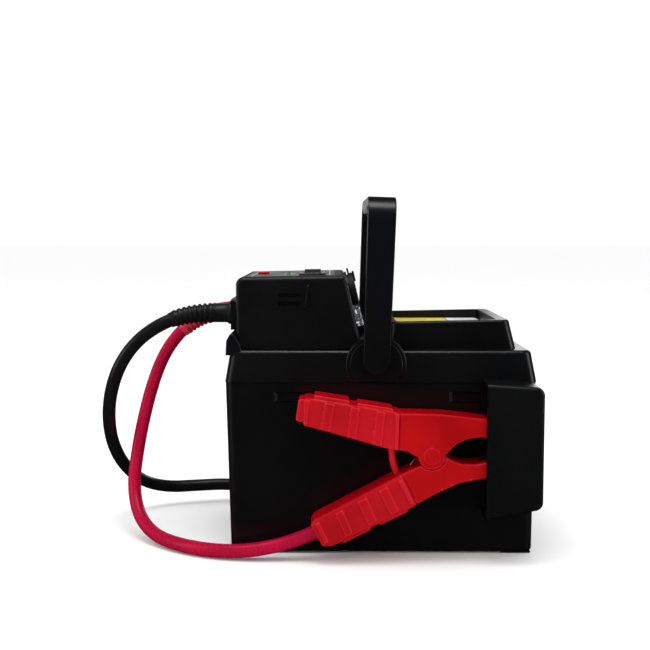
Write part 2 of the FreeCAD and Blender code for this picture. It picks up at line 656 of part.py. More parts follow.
def lamp_parts():
    """A clear faceted window, a bright reflector behind it and three LEDs."""
    y0 = LAMP_Y - 13.0
    y1 = LAMP_Y + 13.0
    window = face_box(LAMP_ALONG - 5.4, LAMP_ALONG + 5.4, y0, y1, -2.0, 4.2)
    grooves = []
    for i in range(1, 6):
        y = y0 + i * 26.0 / 6
        groove = face_box(LAMP_ALONG - 7, LAMP_ALONG + 7, -0.55, 0.55, -0.55, 0.55)
        groove.rotate(face_point(LAMP_ALONG, 0, 0), UP, 45)
        groove.translate(Y * y + OUT * 4.2)
        grooves.append(groove)
    window = window.cut(compound(grooves))
    flange = face_box(LAMP_ALONG - 7.0, LAMP_ALONG + 7.0, y0 - 1.4, y1 + 1.4, -3.7, -2.5)
    window = fused([window, flange, face_box(LAMP_ALONG - 5.4, LAMP_ALONG + 5.4, y0, y1, -2.6, -1.9)])
    tray = face_box(LAMP_ALONG - 6.8, LAMP_ALONG + 6.8, y0 - 1.2, y1 + 1.2, -10.0, -3.8)
    leds = []
    for i in (-1, 0, 1):
        centre_y = LAMP_Y + i * 8.6
        bowl = Part.makeCone(1.8, 4.1, 5.3, face_point(LAMP_ALONG, centre_y, -9.0), OUT)
        tray = tray.cut(bowl)
        back = face_point(LAMP_ALONG, centre_y, -11)
        tray = tray.cut(rod(1.8, back, back + OUT * 2.1))
        stem = rod(1.6, face_point(LAMP_ALONG, centre_y, -11.4), face_point(LAMP_ALONG, centre_y, -8.2))
        dome = Part.makeSphere(1.6, face_point(LAMP_ALONG, centre_y, -8.2))
        leds.append(fused([stem, dome]))
    return window, tray, leds


def charge_jack():
    along = OUTLET_ALONG - 4
    body = rod(4.0, face_point(along, JACK_Y, -11), face_point(along, JACK_Y, 0.1))
    lip = rod(5.0, face_point(along, JACK_Y, 0.02), face_point(along, JACK_Y, 0.9))
    bore = rod(JACK_R, face_point(along, JACK_Y, -9.5), face_point(along, JACK_Y, 2))
    pin = rod(1.0, face_point(along, JACK_Y, -10), face_point(along, JACK_Y, -1.2))
    return fused([fused([body, lip]).cut(bore), pin])


# ---------------------------------------------------------------- inside the housing


def circuit_board():
    return box(-77.5, -39, -38, 5, BOARD_Z, BOARD_Z + 1.6)


def board_components():
    """Relay, capacitors, driver chips, the push switch's plinth and a buzzer, on the board."""
    parts = [
        box(-74, -60, -37, -22, BOARD_Z - 12, BOARD_Z),
        box(-56, -48, -36, -28, BOARD_Z - 3, BOARD_Z),
        box(-56, -48, -22, -14, BOARD_Z - 3, BOARD_Z),
        box(-73.5, -69.5, -8.0, -4.0, BOARD_Z + 1.6, 159.8),
    ]
    for x, y in ((-45, -32), (-45, -20), (-56, -4)):
        parts.append(rod(3.2, V(x, y, BOARD_Z), V(x, y, BOARD_Z - 9)))
    return parts


def main_fuse():
    """A bolt-down strip fuse on the lid's plate, inside the housing."""
    base = box(-33, -20, 0, 28, SHOULDER_Z, 126.0)
    link = box(-29.5, -23.5, 3, 25, 125.8, 127.0)
    studs = [rod(2.2, V(-26.5, y, 125.5), V(-26.5, y, 131.5)) for y in (5.5, 22.5)]
    return fused([base, link] + studs)


# ---------------------------------------------------------------- battery


def battery_block():
    block = box(*BATTERY)
    block = block.makeFillet(1.5, [e for e in block.Edges if abs(e.tangentAt(e.FirstParameter).z) > 0.99])
    cover = box(BATTERY[0] + 6, BATTERY[1] - 6, -20, 20, BATTERY[5] - 0.5, BATTERY[5] + 1.2)
    return fused([block, cover])


def battery_terminal(side):
    """A bolt-through tab terminal."""
    y = side * TERMINAL_Y
    z = BATTERY[5]
    foot = box(TERMINAL_X - 6, TERMINAL_X + 6, y - 6, y + 6, z, z + 2)
    blade = box(TERMINAL_X - 1.5, TERMINAL_X + 1.5, y - 5.5, y + 5.5, z + 1.5, z + 15)
    hole = rod(2.6, V(TERMINAL_X - 5, y, z + 9), V(TERMINAL_X + 5, y, z + 9))
    return fused([foot, blade]).cut(hole)


def foam_pads():
    floor = box(-70, 70, -45, 45, CASE_BOTTOM_Z + 2.9, BATTERY[4])
    top_pads = [box(-30, 60, y - 6, y + 6, BATTERY[5] + 1.3, SHOULDER_Z - 2.8) for y in (-14, 14)]
    return [floor] + top_pads


# ---------------------------------------------------------------- pockets
def pocket():
    """The near pocket: a drafted box with its open end towards -X."""
    y_far = -POCKET_OUTER
    low, high = POCKET_MOUTH_Z
    end_low, end_high = POCKET_END_Z
    x0, x1 = POCKET_X
    outer = slab([(x0, low, 0), (x0, high, 0), (x1, end_high, 5.0), (x1, end_low, 5.0)], y_far, -POCKET_INNER)
    outer = softened(outer, 2.4, lambda m, e: abs(m.y - y_far) < 1e-4 and m.x > x0 + 0.1)
    w = POCKET_WALL
    inner = slab(
        [
            (x0 - 1, low + w, 0), (x0 - 1, high - w, 0),
            (x1 - w, end_high - w, 2.0), (x1 - w, end_low + w, 2.0),
        ],
        y_far + w, -POCKET_INNER - 1.6,
    )
    shell = outer.cut(inner)
    tab = slab([(75.0, 64.05, 0.6), (75.0, 66.95, 0.6), (x1 - 1, 66.95, 0), (x1 - 1, 64.05, 0)], -77.0, -61.0)
    shell = fused([shell, tab])
    for x, z in POCKET_SCREWS:
        shell = shell.cut(rod(1.6, V(x, -60, z), V(x, -50, z)))
        shell = shell.cut(Part.makeCone(1.6, 2.7, 1.2, V(x, -57.15, z), -Y))
    return shell


def pocket_screws():
    """Flat heads in the pocket's back, shanks through the tub, nuts inside."""
    pieces = []
    for x, z in POCKET_SCREWS:
        head = Part.makeCone(1.5, 2.6, 1.1, V(x, -57.2, z), -Y)
        shank = rod(1.5, V(x, -57.3, z), V(x, -49.8, z))
        nut = rod(3.0, V(x, -52.4, z), V(x, -50.4, z))
        pieces.append(fused([head, shank, nut]))
    return pieces


# ---------------------------------------------------------------- clamps
UPPER_COVER = [
    (9.7, 88.2, 0.6), (34.0, 87.6, 30.0), (59.9, 84.7, 30.0), (76.0, 79.0, 14.0), (86.6, 71.0, 2.5),
    (86.8, 68.4, 0.6), (76.0, 68.4, 6.0), (66.0, 71.8, 8.0), (57.0, 74.8, 8.0), (48.6, 73.8, 6.0),
    (42.6, 71.0, 5.0), (38.4, 67.2, 3.0), (36.6, 64.9, 1.0), (28.2, 64.2, 1.0), (19.6, 63.2, 1.0),
    (14.2, 66.4, 2.0), (9.1, 67.2, 0.6),
]
LOWER_COVER = [
    (11.0, 53.0, 0.6), (16.5, 55.8, 2.0), (22.0, 58.0, 1.0), (30.0, 62.2, 1.0), (36.6, 62.6, 1.0),
    (41.0, 60.4, 2.0), (46.0, 58.9, 4.0), (53.0, 58.7, 8.0), (62.0, 60.4, 8.0), (72.0, 62.6, 6.0),
    (86.8, 62.6, 0.6), (86.4, 60.0, 2.0), (76.0, 54.6, 14.0), (60.3, 51.4, 20.0), (44.0, 48.2, 14.0),
    (31.0, 42.2, 14.0), (19.7, 35.9, 0.6),
]
UPPER_GRIP = [
    (-43.8, 97.2, 1.2), (9.5, 88.7, 0.6), (8.9, 66.9, 0.6), (4.0, 67.7, 8.0), (-12.0, 72.2, 30.0),
    (-30.0, 77.4, 20.0), (-45.0, 81.4, 1.0),
]
UPPER_TAIL = [(-47.6, 96.0, 1.2), (-42.0, 96.4, 0), (-42.6, 82.6, 0), (-49.3, 84.2, 1.2)]
UPPER_RIDGES = (
    [(-38.6, 98.5, 0.6), (-19.2, 95.4, 0.6), (-18.8, 91.6, 0), (-39.0, 94.8, 0)],
    [(-14.0, 93.9, 0.6), (5.8, 90.8, 0.6), (6.2, 87.2, 0), (-14.4, 90.4, 0)],
)
UPPER_BANDS = (
    [(-44.4, 96.6, 0.5), (-41.4, 96.3, 0.5), (-43.0, 81.6, 0.5), (-44.8, 82.0, 0.5)],
    [(-32.7, 94.6, 0.6), (-27.4, 93.8, 0.6), (-29.7, 78.0, 0.6), (-34.6, 79.4, 0.6)],
    [(-18.0, 92.2, 0.6), (-13.0, 91.4, 0.6), (-15.1, 73.8, 0.6), (-20.2, 75.2, 0.6)],
    [(-3.3, 90.0, 0.6), (1.4, 89.2, 0.6), (-0.6, 69.6, 0.6), (-5.9, 71.0, 0.6)],
    [(7.4, 88.2, 0.4), (9.3, 88.0, 0.4), (8.7, 67.6, 0.4), (6.8, 67.8, 0.4)],
)
LOWER_GRIP = [
    (-38.6, 26.8, 1.2), (-24.6, 34.2, 12.0), (-8.0, 43.0, 20.0), (10.8, 53.0, 0.6), (19.5, 35.9, 0.6),
    (17.6, 34.3, 0.8), (-28.4, 11.4, 1.4), (-34.2, 11.2, 1.4), (-40.9, 23.6, 1.0),
]
LOWER_RIDGES = (
    [(-6.4, 21.0, 0.6), (-22.2, 13.0, 0.6), (-23.6, 16.5, 0), (-7.2, 24.6, 0)],
    [(14.8, 31.6, 0.6), (-1.2, 23.6, 0.6), (-2.4, 27.0, 0), (14.0, 35.2, 0)],
)
LOWER_BANDS = (
    [(-38.2, 24.8, 0.4), (-36.4, 25.8, 0.4), (-30.8, 14.2, 0.4), (-32.8, 13.2, 0.4)],
    [(-26.8, 30.8, 0.6), (-22.8, 32.9, 0.6), (-17.0, 19.4, 0.6), (-21.0, 17.4, 0.6)],
    [(-14.4, 37.4, 0.6), (-9.2, 40.1, 0.6), (-3.0, 26.4, 0.6), (-8.0, 23.9, 0.6)],
    [(-2.2, 43.9, 0.6), (2.6, 46.4, 0.6), (9.4, 32.6, 0.6), (4.6, 30.2, 0.6)],
    [(8.9, 49.6, 0.4), (10.5, 50.6, 0.4), (17.8, 36.9, 0.4), (16.0, 36.0, 0.4)],
)
UPPER_METAL = [
    (84.6, 67.9, 0.2), (76.2, 67.9, 4.0), (66.0, 71.2, 8.0), (60.0, 73.1, 4.0), (56.6, 75.0, 0.5),
    (56.9, 77.0, 0.3), (61.0, 75.1, 4.0), (67.0, 73.4, 8.0), (76.6, 70.3, 4.0), (84.6, 70.3, 0.2),
]
LOWER_METAL = [
    (84.6, 63.1, 0.2), (72.0, 63.1, 6.0), (62.0, 61.2, 8.0), (57.0, 59.8, 3.0), (54.0, 57.4, 0.5),
    (54.4, 55.2, 0.3), (57.6, 57.0, 3.0), (62.6, 58.6, 8.0), (72.4, 60.6, 6.0), (84.6, 60.6, 0.2),
]
UPPER_CORE = [(58.2, 76.0, 0.4), (58.2, 80.0, 1.0), (-34.0, 92.0, 1.0), (-34.0, 86.4, 1.0), (12.0, 77.4, 8.0)]
LOWER_CORE = [
    (55.8, 56.4, 0.4), (55.8, 54.4, 0.5), (44.0, 51.4, 8.0), (20.0, 43.0, 8.0), (-14.0, 26.6, 1.0),
    (-16.6, 31.6, 1.0), (14.0, 48.6, 8.0),
]


def disc(radius, half_in, half_out):
    """A pair of discs round the clamp's pivot, between two distances from the mid plane."""
    x, z = CLAMP_PIVOT
    out = []
    for way in (-1, 1):
        out.append(rod(radius, V(x, way * half_in, z), V(x, way * half_out, z)))
    return compound(out)


def middle_disc(radius, half):
    x, z = CLAMP_PIVOT
    return rod(radius, V(x, -half, z), V(x, half, z))


def teeth(start, end, count, way, half):
    """Small ridges across a jaw plate, pointing up (way 1) or down (way -1)."""
    ridges = []
    for i in range(count):
        t = (i + 0.5) / count
        x = start[0] + (end[0] - start[0]) * t
        z = start[1] + (end[1] - start[1]) * t
        points = [(x - 1.1, z - 0.8 * way, 0), (x, z + 0.75 * way, 0), (x + 1.1, z - 0.8 * way, 0)]
        ridges.append(slab(points, -half, half))
    return ridges


def upper_metal():
    plate = slab(UPPER_METAL, -METAL_HALF, METAL_HALF)
    core = slab(UPPER_CORE, -METAL_HALF + 0.8, METAL_HALF - 0.8)
    ridges = teeth((84.0, 67.9), (76.5, 67.9), 3, -0.4, METAL_HALF)
    ridges += teeth((67.5, 70.9), (60.5, 73.0), 3, -1, METAL_HALF)
    return fused([plate, core] + ridges)


def lower_metal():
    plate = slab(LOWER_METAL, -METAL_HALF, METAL_HALF)
    core = slab(LOWER_CORE, -METAL_HALF + 0.8, METAL_HALF - 0.8)
    ridges = teeth((84.0, 63.1), (74.0, 63.1), 3, 0.4, METAL_HALF)
    ridges += teeth((64.5, 61.8), (57.0, 59.7), 3, 1, METAL_HALF)
    return fused([plate, core] + ridges)


def upper_cover(metal):
    shape = slab(UPPER_COVER, -COVER_HALF, COVER_HALF)
    shape = softened(shape, 1.0, side_rims(COVER_HALF))
    lobe = disc(LOBE_R, KNUCKLE_HALF + 0.3, COVER_HALF)
    boss = disc(BOSS_R, COVER_HALF - 0.5, COVER_HALF + 0.8)
    shape = shape.fuse(list(lobe.Solids) + list(boss.Solids)).removeSplitter()
    shape = shape.cut(middle_disc(LOBE_R + 0.8, KNUCKLE_HALF + 0.3))
    shape = shape.cut(disc(RIVET_R + RUNNING, KNUCKLE_HALF, 8.2))
    shape = shape.cut(spring_leg(1, 1.3))
    return shape.cut(metal).cut(bridge_wire(BRIDGE_D + 0.4))


def lower_cover(metal):
    shape = slab(LOWER_COVER, -COVER_HALF, COVER_HALF)
    shape = softened(shape, 1.0, side_rims(COVER_HALF))
    knuckle = middle_disc(LOBE_R - 0.3, KNUCKLE_HALF)
    shape = shape.fuse(knuckle).removeSplitter()
    shape = shape.cut(disc(LOBE_R + LOBE_GAP, KNUCKLE_HALF, CLAMP_HALF + 1))
    shape = shape.cut(middle_disc(5.6, 4.9))
    x, z = CLAMP_PIVOT
    slot = box(x - 13, x, -4.4, 4.4, z - 3.0, z + 10)
    shape = shape.cut(slot)
    shape = shape.cut(middle_disc(RIVET_R + 0.02, CLAMP_HALF))
    shape = shape.cut(spring_leg(-1, 1.3))
    return shape.cut(metal).cut(bridge_wire(BRIDGE_D + 0.4))


def gripped(core, extras, bands):
    """A vinyl sleeve: the core, its ridges and end blocks, and raised bands across both sides."""
    parts = [softened(slab(core, -GRIP_HALF, GRIP_HALF), 1.5, side_rims(GRIP_HALF))]
    for outline_points in extras:
        parts.append(slab(outline_points, -RIDGE_HALF, RIDGE_HALF))
    for strip in bands:
        half = GRIP_HALF + BAND_PROUD
        parts.append(softened(slab(strip, -half, half), 0.5, side_rims(half)))
    return fused(parts)


def upper_grip(metal):
    shape = gripped(UPPER_GRIP, (UPPER_TAIL,) + UPPER_RIDGES, UPPER_BANDS)
    return shape.cut(metal).cut(bridge_wire(BRIDGE_D + 0.4))


def lower_grip(metal):
    shape = gripped(LOWER_GRIP, LOWER_RIDGES, LOWER_BANDS)
    shape = shape.cut(metal).cut(bridge_wire(BRIDGE_D + 0.4))
    mouth = V(*CABLE_TAIL)
    inward = V(*CABLE_TAIL_WAY)
    return shape.cut(rod(CABLE_D / 2 + 0.3, mouth - inward * 12, mouth + inward * CABLE_SOCKET))


def rivet():
    x, z = CLAMP_PIVOT
    return rod(RIVET_R, V(x, -8.0, z), V(x, 8.0, z))


def torsion_spring():
    """Coils round the rivet, with a leg to each arm."""
    x, z = CLAMP_PIVOT
    pitch = 1.62
    coils = [Part.makeTorus(4.2, 0.9, V(x, (i - 2) * pitch, z), Y) for i in range(5)]
    return fused(coils + [spring_leg(1, 0.9), spring_leg(-1, 0.9)])


def spring_leg(way, radius):
    """The straight leg of the spring to the upper (1) or lower (-1) half."""
    x, z = CLAMP_PIVOT
    if way > 0:
        return rod(radius, V(x - 1.0, 3.2, z + 4.2), V(x - 13.6, 0.6, z + 7.6))
    return rod(radius, V(x - 1.0, -3.2, z - 4.0), V(x - 12.0, -0.6, z - 4.6))


# ---------------------------------------------------------------- cords
def bent_tube(points, diameter):
    """A tube along straight runs joined by tangent arcs; returns it with its length and radii."""
    route = [V(*p) for p in points]
    edges = []
    radii = []
    start = route[0]
    for i in range(1, len(route) - 1):
        back = route[i - 1] - route[i]
        ahead = route[i + 1] - route[i]
        turn = math.pi - back.getAngle(ahead)
        reach = 0.45 * min(back.Length, ahead.Length)
        radius = reach / math.tan(turn / 2)
        radii.append(radius)
        a = back.normalize()
        b = ahead.normalize()
        first = route[i] + a * reach
        last = route[i] + b * reach
        middle_way = (a + b).normalize()
        centre = route[i] + middle_way * math.hypot(radius, reach)
        edges.append(Part.LineSegment(start, first).toShape())
        edges.append(Part.Arc(first, centre - middle_way * radius, last).toShape())
        start = last
    edges.append(Part.LineSegment(start, route[-1]).toShape())
    wire = Part.Wire(edges)
    section = Part.Wire(Part.makeCircle(diameter / 2, route[0], route[1] - route[0]))
    tube = wire.makePipeShell([section], True, False, 2)
    return tube, wire.Length, radii


BRIDGE_ROUTE = [
    (4.9, 0, 72.6), (5.7, 0, 68.4), (5.8, 0, 63.4), (6.4, 0, 58.8), (7.7, 0, 54.6), (9.4, 0, 50.4),
]
def bridge_wire(diameter):
    """The short flexible wire that joins a clamp's two halves."""
    return bent_tube(BRIDGE_ROUTE, diameter)[0]


# Hand-set routes of the free cables, from the gland plate to inside the lower grip's tail.
RED_ROUTE = [
    (-90.4, 14.0, 140.6), (-104.4, 15.6, 139.6), (-117.4, 17.0, 134.4), (-129.0, 16.8, 124.8),
    (-138.4, 14.8, 111.2), (-145.0, 10.6, 93.6), (-150.0, 5.0, 72.6), (-153.8, 0.4, 51.0),
    (-155.6, -7.0, 30.4), (-150.0, -21.0, 13.6), (-137.5, -37.0, 5.4), (-118.0, -55.0, 4.5),
    (-97.0, -65.6, 4.6), (-77.0, -69.2, 5.6), (-57.0, -69.0, 9.6), (-42.6, -69.0, 15.2),
    (-31.5, -69.0, 19.9),
]
BLACK_ROUTE = [
    (-90.4, -14.0, 140.6), (-105.8, -16.4, 141.0), (-121.0, -19.2, 139.4), (-135.6, -21.8, 133.8),
    (-149.2, -23.4, 124.0), (-160.0, -22.8, 109.4), (-167.0, -17.6, 91.4), (-170.8, -7.0, 72.4),
    (-171.6, 8.6, 53.2), (-168.0, 26.6, 35.2), (-158.4, 43.6, 20.0), (-143.0, 56.0, 13.2),
    (-123.5, 63.6, 12.6), (-103.0, 67.4, 12.8), (-81.0, 69.0, 10.0), (-60.0, 69.0, 9.9),
    (-42.6, 69.0, 15.2), (-31.5, 69.0, 19.9),
]
RED_LEAD = [
    (-90.4, 14.0, 140.6), (-79.0, 15.0, 140.0), (-68.0, 22.0, 137.0), (-60.0, 32.0, 130.0),
    (-55.0, 39.0, 120.0), (-55.5, 39.5, 111.0), (-61.0, 38.5, 106.5),
]
BLACK_LEAD = [
    (-90.4, -14.0, 140.6), (-78.0, -14.6, 139.6), (-67.0, -20.0, 134.0), (-59.0, -29.0, 126.0),
    (-55.0, -37.0, 117.0), (-56.0, -39.0, 110.0), (-61.0, -38.5, 106.5),
]


def boot(route, bore):
    """A ribbed, tapered strain relief round the cable's first bends."""
    path = [V(*p) for p in route[:4]]
    path[3] = path[2] + (path[3] - path[2]) * 0.45
    first = (path[1] - path[0]).normalize()
    second = (path[2] - path[1]).normalize()
    third = (path[3] - path[2]).normalize()
    sleeve = bent_tube([tuple(p) for p in path], CABLE_D + 2.2)[0]
    body = Part.makeCone(BOOT_R, BOOT_R - 0.4, (path[1] - path[0]).Length + 1, path[0] - first * 2, first)
    neck = Part.makeCone(BOOT_R - 0.9, BOOT_R - 1.3, 7.0, path[1] - second * 1.5, second)
    parts = [sleeve, body, neck]
    for i, at in enumerate((7.0, 10.0, 13.0)):
        parts.append(rod(BOOT_R - 0.9 - 0.3 * i, path[1] + second * at, path[1] + second * (at + 1.5)))
    parts.append(rod(BOOT_R - 1.35, path[2] + third * 2.6, path[2] + third * 4.1))
    return fused(parts).cut(bore).cut(box(GLAND_X0, GLAND_X0 + 12, -40, 40, 120, 160))


def lug(at, lead):
    """The crimped copper tab between a lead's end and its battery terminal."""
    x, y, z = at
    tab = box(TERMINAL_X + 1.5, x + 1.0, y - 4.6, y + 4.6, z - 5.0, z + 4.0)
    return tab.cut(lead)


def gland_plate():
    plate = box(GLAND_X0, GLAND_X1, -30, 30, 131.4, 149.8)
    plate = plate.makeFillet(1.2, [e for e in plate.Edges if abs(e.tangentAt(e.FirstParameter).x) > 0.99])
    holes = [rod(CABLE_D / 2 + 1.4, V(-95, y, EXIT_Z), V(-80, y, EXIT_Z)) for y in (-EXIT_Y, EXIT_Y)]
    for y in GLAND_SCREW_Y:
        holes.append(rod(1.3, V(-95, y, EXIT_Z), V(-80, y, EXIT_Z)))
        holes.append(rod(2.7, V(-95, y, EXIT_Z), V(GLAND_X0 + 1.4, y, EXIT_Z)))
    return plate.cut(compound(holes))


def gland_screws():
    screws = []
    for y in GLAND_SCREW_Y:
        head = rod(2.5, V(GLAND_X0 + 0.1, y, EXIT_Z), V(GLAND_X0 + 1.4, y, EXIT_Z))
        head = head.cut(rod(1.1, V(GLAND_X0 - 1, y, EXIT_Z), V(GLAND_X0 + 0.8, y, EXIT_Z)))
        shank = rod(1.25, V(GLAND_X0 + 1.3, y, EXIT_Z), V(HOUSING_LEFT + 5.5, y, EXIT_Z))
        screws.append(fused([head, shank]))
    return screws


def housing_screws():
    screws = []
    for x in HOUSING_SCREW_X:
        for y in HOUSING_SCREW_Y:
            head = rod(3.0, V(x, y, SHOULDER_Z - 4.6), V(x, y, SHOULDER_Z - 2.7))
            shank = rod(1.25, V(x, y, SHOULDER_Z - 2.8), V(x, y, SHOULDER_Z + 9))
            screws.append(fused([head, shank]))
    return screws


# ---------------------------------------------------------------- build
save("case_tub", case_tub())
save("feet", compound(feet()))
save("lid_cover", lid_cover())
save("tray_label", tray_label())
save("carry_handle", carry_handle())
SCREWS, WASHERS = pivot_fasteners()
save("pivot_screws", compound(SCREWS))
save("pivot_washers", compound(WASHERS))
save("control_housing", control_housing())
save("panel_overlay", panel_overlay())
save("test_button", test_button())
save("rocker_bezel", rocker_bezel())
save("rocker_key", rocker_key())
save("status_leds", compound(status_leds()))
BARREL, BEZEL, INSULATOR, CONTACT = outlet_parts()
save("outlet_barrel", BARREL)
save("outlet_bezel", BEZEL)
save("outlet_insulator", INSULATOR)
save("outlet_contact", CONTACT)
save("outlet_cap", outlet_cap())
save("cap_pin", cap_pin())
WINDOW, REFLECTOR, LEDS = lamp_parts()
save("lamp_lens", WINDOW)
save("lamp_reflector", REFLECTOR)
save("lamp_leds", compound(LEDS))
save("charge_jack", charge_jack())
save("circuit_board", circuit_board())
save("board_components", compound(board_components()))
save("main_fuse", main_fuse())
save("battery", battery_block())
save("battery_terminals", compound([battery_terminal(1), battery_terminal(-1)]))
save("foam_pads", compound(foam_pads()))
save("pocket_screws", compound(pocket_screws() + [mirrored(s) for s in pocket_screws()]))
save("housing_screws", compound(housing_screws()))
save("gland_plate", gland_plate())
save("gland_screws", compound(gland_screws()))

POCKET = pocket()
save("red_pocket", POCKET)
save("black_pocket", mirrored(POCKET))

UPPER_JAW = upper_metal()
LOWER_JAW = lower_metal()
CLAMP_NODES = {
    "upper_jaw": UPPER_JAW,
    "lower_jaw": LOWER_JAW,
    "upper_cover": upper_cover(UPPER_JAW),
    "lower_cover": lower_cover(LOWER_JAW),
    "upper_grip": upper_grip(UPPER_JAW),
    "lower_grip": lower_grip(LOWER_JAW),
    "rivet": rivet(),
    "spring": torsion_spring(),
    "bridge_wire": bridge_wire(BRIDGE_D),
}
for colour, clamp_y in (("red", -CLAMP_Y), ("black", CLAMP_Y)):
    for part_name, shape in CLAMP_NODES.items():
        placed = shape.copy()
        placed.translate(V(0, clamp_y, 0))
        save(colour + "_" + part_name, placed)

lugs = []
for colour, route, lead in (("red", RED_ROUTE, RED_LEAD), ("black", BLACK_ROUTE, BLACK_LEAD)):
    cable, cable_length, cable_radii = bent_tube(route, CABLE_D)
    save(colour + "_cable", cable)
    save(colour + "_boot", boot(route, bent_tube(route, CABLE_D + 0.06)[0]))
    inner_lead, lead_length, lead_radii = bent_tube(lead, CABLE_D)
    save(colour + "_lead", inner_lead)
    lugs.append(lug(lead[-1], inner_lead))
    for label, solid, length, radii in (
        ("cable", cable, cable_length, cable_radii),
        ("lead", inner_lead, lead_length, lead_radii),
    ):
        ratio = solid.Volume / (math.pi * CABLE_D ** 2 / 4 * length)
        print(colour, label, "length", round(length, 1), "volume ratio", round(ratio, 4))
        print("  radii", [round(r, 1) for r in radii])

save("terminal_lugs", compound(lugs))

for name, shape in made.items():
    bad = [i for i, solid in enumerate(shape.Solids) if not solid.isValid()]
    b = shape.BoundBox
    print(
        f"{name:20s} solids {len(shape.Solids)} invalid {bad} volume {shape.Volume:9.1f} "
        f"x {b.XMin:7.1f} {b.XMax:7.1f} y {b.YMin:6.1f} {b.YMax:6.1f} z {b.ZMin:6.1f} {b.ZMax:6.1f}"
    )
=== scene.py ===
import json
import math

import bmesh
import bpy
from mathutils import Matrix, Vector


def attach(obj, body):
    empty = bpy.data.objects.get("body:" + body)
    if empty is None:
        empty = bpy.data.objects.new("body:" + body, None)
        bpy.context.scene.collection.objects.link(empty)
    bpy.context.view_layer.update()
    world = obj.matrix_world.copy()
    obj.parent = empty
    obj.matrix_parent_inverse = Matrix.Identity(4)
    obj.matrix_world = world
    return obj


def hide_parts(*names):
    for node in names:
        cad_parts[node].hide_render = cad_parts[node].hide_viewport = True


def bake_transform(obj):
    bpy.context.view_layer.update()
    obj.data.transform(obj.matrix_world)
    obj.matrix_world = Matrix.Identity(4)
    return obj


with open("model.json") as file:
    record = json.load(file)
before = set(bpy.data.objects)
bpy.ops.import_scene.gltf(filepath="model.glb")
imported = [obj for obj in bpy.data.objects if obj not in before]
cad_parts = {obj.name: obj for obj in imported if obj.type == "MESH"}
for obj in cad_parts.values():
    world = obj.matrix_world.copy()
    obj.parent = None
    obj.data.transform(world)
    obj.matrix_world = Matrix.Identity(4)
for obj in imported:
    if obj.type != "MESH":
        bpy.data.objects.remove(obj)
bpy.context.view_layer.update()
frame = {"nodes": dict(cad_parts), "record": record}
NODES = frame["nodes"]
COLOURS = ("red", "black")
SIDE = {"red": -1.0, "black": 1.0}          # which long side a colour's clamp is on
CLAMP_Y = 0.069
PIVOT = (0.0282, 0.0636)                    # the clamps' pivot, X and Z
CABLE_D = 0.0082

# Given points of the cords' routes, the same as for the CAD's tubes, in metres.
RED_ROUTE = [
    (-0.0904, 0.0140, 0.1406), (-0.1044, 0.0156, 0.1396), (-0.1174, 0.0170, 0.1344),
    (-0.1290, 0.0168, 0.1248), (-0.1384, 0.0148, 0.1112), (-0.1450, 0.0106, 0.0936),
    (-0.1500, 0.0050, 0.0726), (-0.1538, 0.0004, 0.0510), (-0.1556, -0.0070, 0.0304),
    (-0.1500, -0.0210, 0.0136), (-0.1375, -0.0370, 0.0054), (-0.1180, -0.0550, 0.0045),
    (-0.0970, -0.0656, 0.0046), (-0.0770, -0.0692, 0.0056), (-0.0570, -0.0690, 0.0096),
    (-0.0426, -0.0690, 0.0152), (-0.0315, -0.0690, 0.0199),
]
BLACK_ROUTE = [
    (-0.0904, -0.0140, 0.1406), (-0.1058, -0.0164, 0.1410), (-0.1210, -0.0192, 0.1394),
    (-0.1356, -0.0218, 0.1338), (-0.1492, -0.0234, 0.1240), (-0.1600, -0.0228, 0.1094),
    (-0.1670, -0.0176, 0.0914), (-0.1708, -0.0070, 0.0724), (-0.1716, 0.0086, 0.0532),
    (-0.1680, 0.0266, 0.0352), (-0.1584, 0.0436, 0.0200), (-0.1430, 0.0560, 0.0132),
    (-0.1235, 0.0636, 0.0126), (-0.1030, 0.0674, 0.0128), (-0.0810, 0.0690, 0.0100),
    (-0.0600, 0.0690, 0.0099), (-0.0426, 0.0690, 0.0152), (-0.0315, 0.0690, 0.0199),
]
RED_LEAD = [
    (-0.0904, 0.0140, 0.1406), (-0.0790, 0.0150, 0.1400), (-0.0680, 0.0220, 0.1370),
    (-0.0600, 0.0320, 0.1300), (-0.0550, 0.0390, 0.1200), (-0.0555, 0.0395, 0.1110),
    (-0.0610, 0.0385, 0.1065),
]
BLACK_LEAD = [
    (-0.0904, -0.0140, 0.1406), (-0.0780, -0.0146, 0.1396), (-0.0670, -0.0200, 0.1340),
    (-0.0590, -0.0290, 0.1260), (-0.0550, -0.0370, 0.1170), (-0.0560, -0.0390, 0.1100),
    (-0.0610, -0.0385, 0.1065),
]
BRIDGE_ROUTE = [             # the wire between a clamp's halves, before it is moved to its side
    (0.0049, 0.0000, 0.0726), (0.0057, 0.0000, 0.0684), (0.0058, 0.0000, 0.0634),
    (0.0064, 0.0000, 0.0588), (0.0077, 0.0000, 0.0546), (0.0094, 0.0000, 0.0504),
]
BRIDGE_R = 0.0020
CABLE_ROUTE = {"red": RED_ROUTE, "black": BLACK_ROUTE}
LEAD_ROUTE = {"red": RED_LEAD, "black": BLACK_LEAD}


# ---------------------------------------------------------------- materials
EDGE_LOW, EDGE_HIGH = 0.512, 0.56          # pointiness of a nearly flat place and of a sharp edge
COLOUR_SOCKETS = (6, 7)                    # the mix node's two colour inputs
COLOUR_OUTPUT = 2


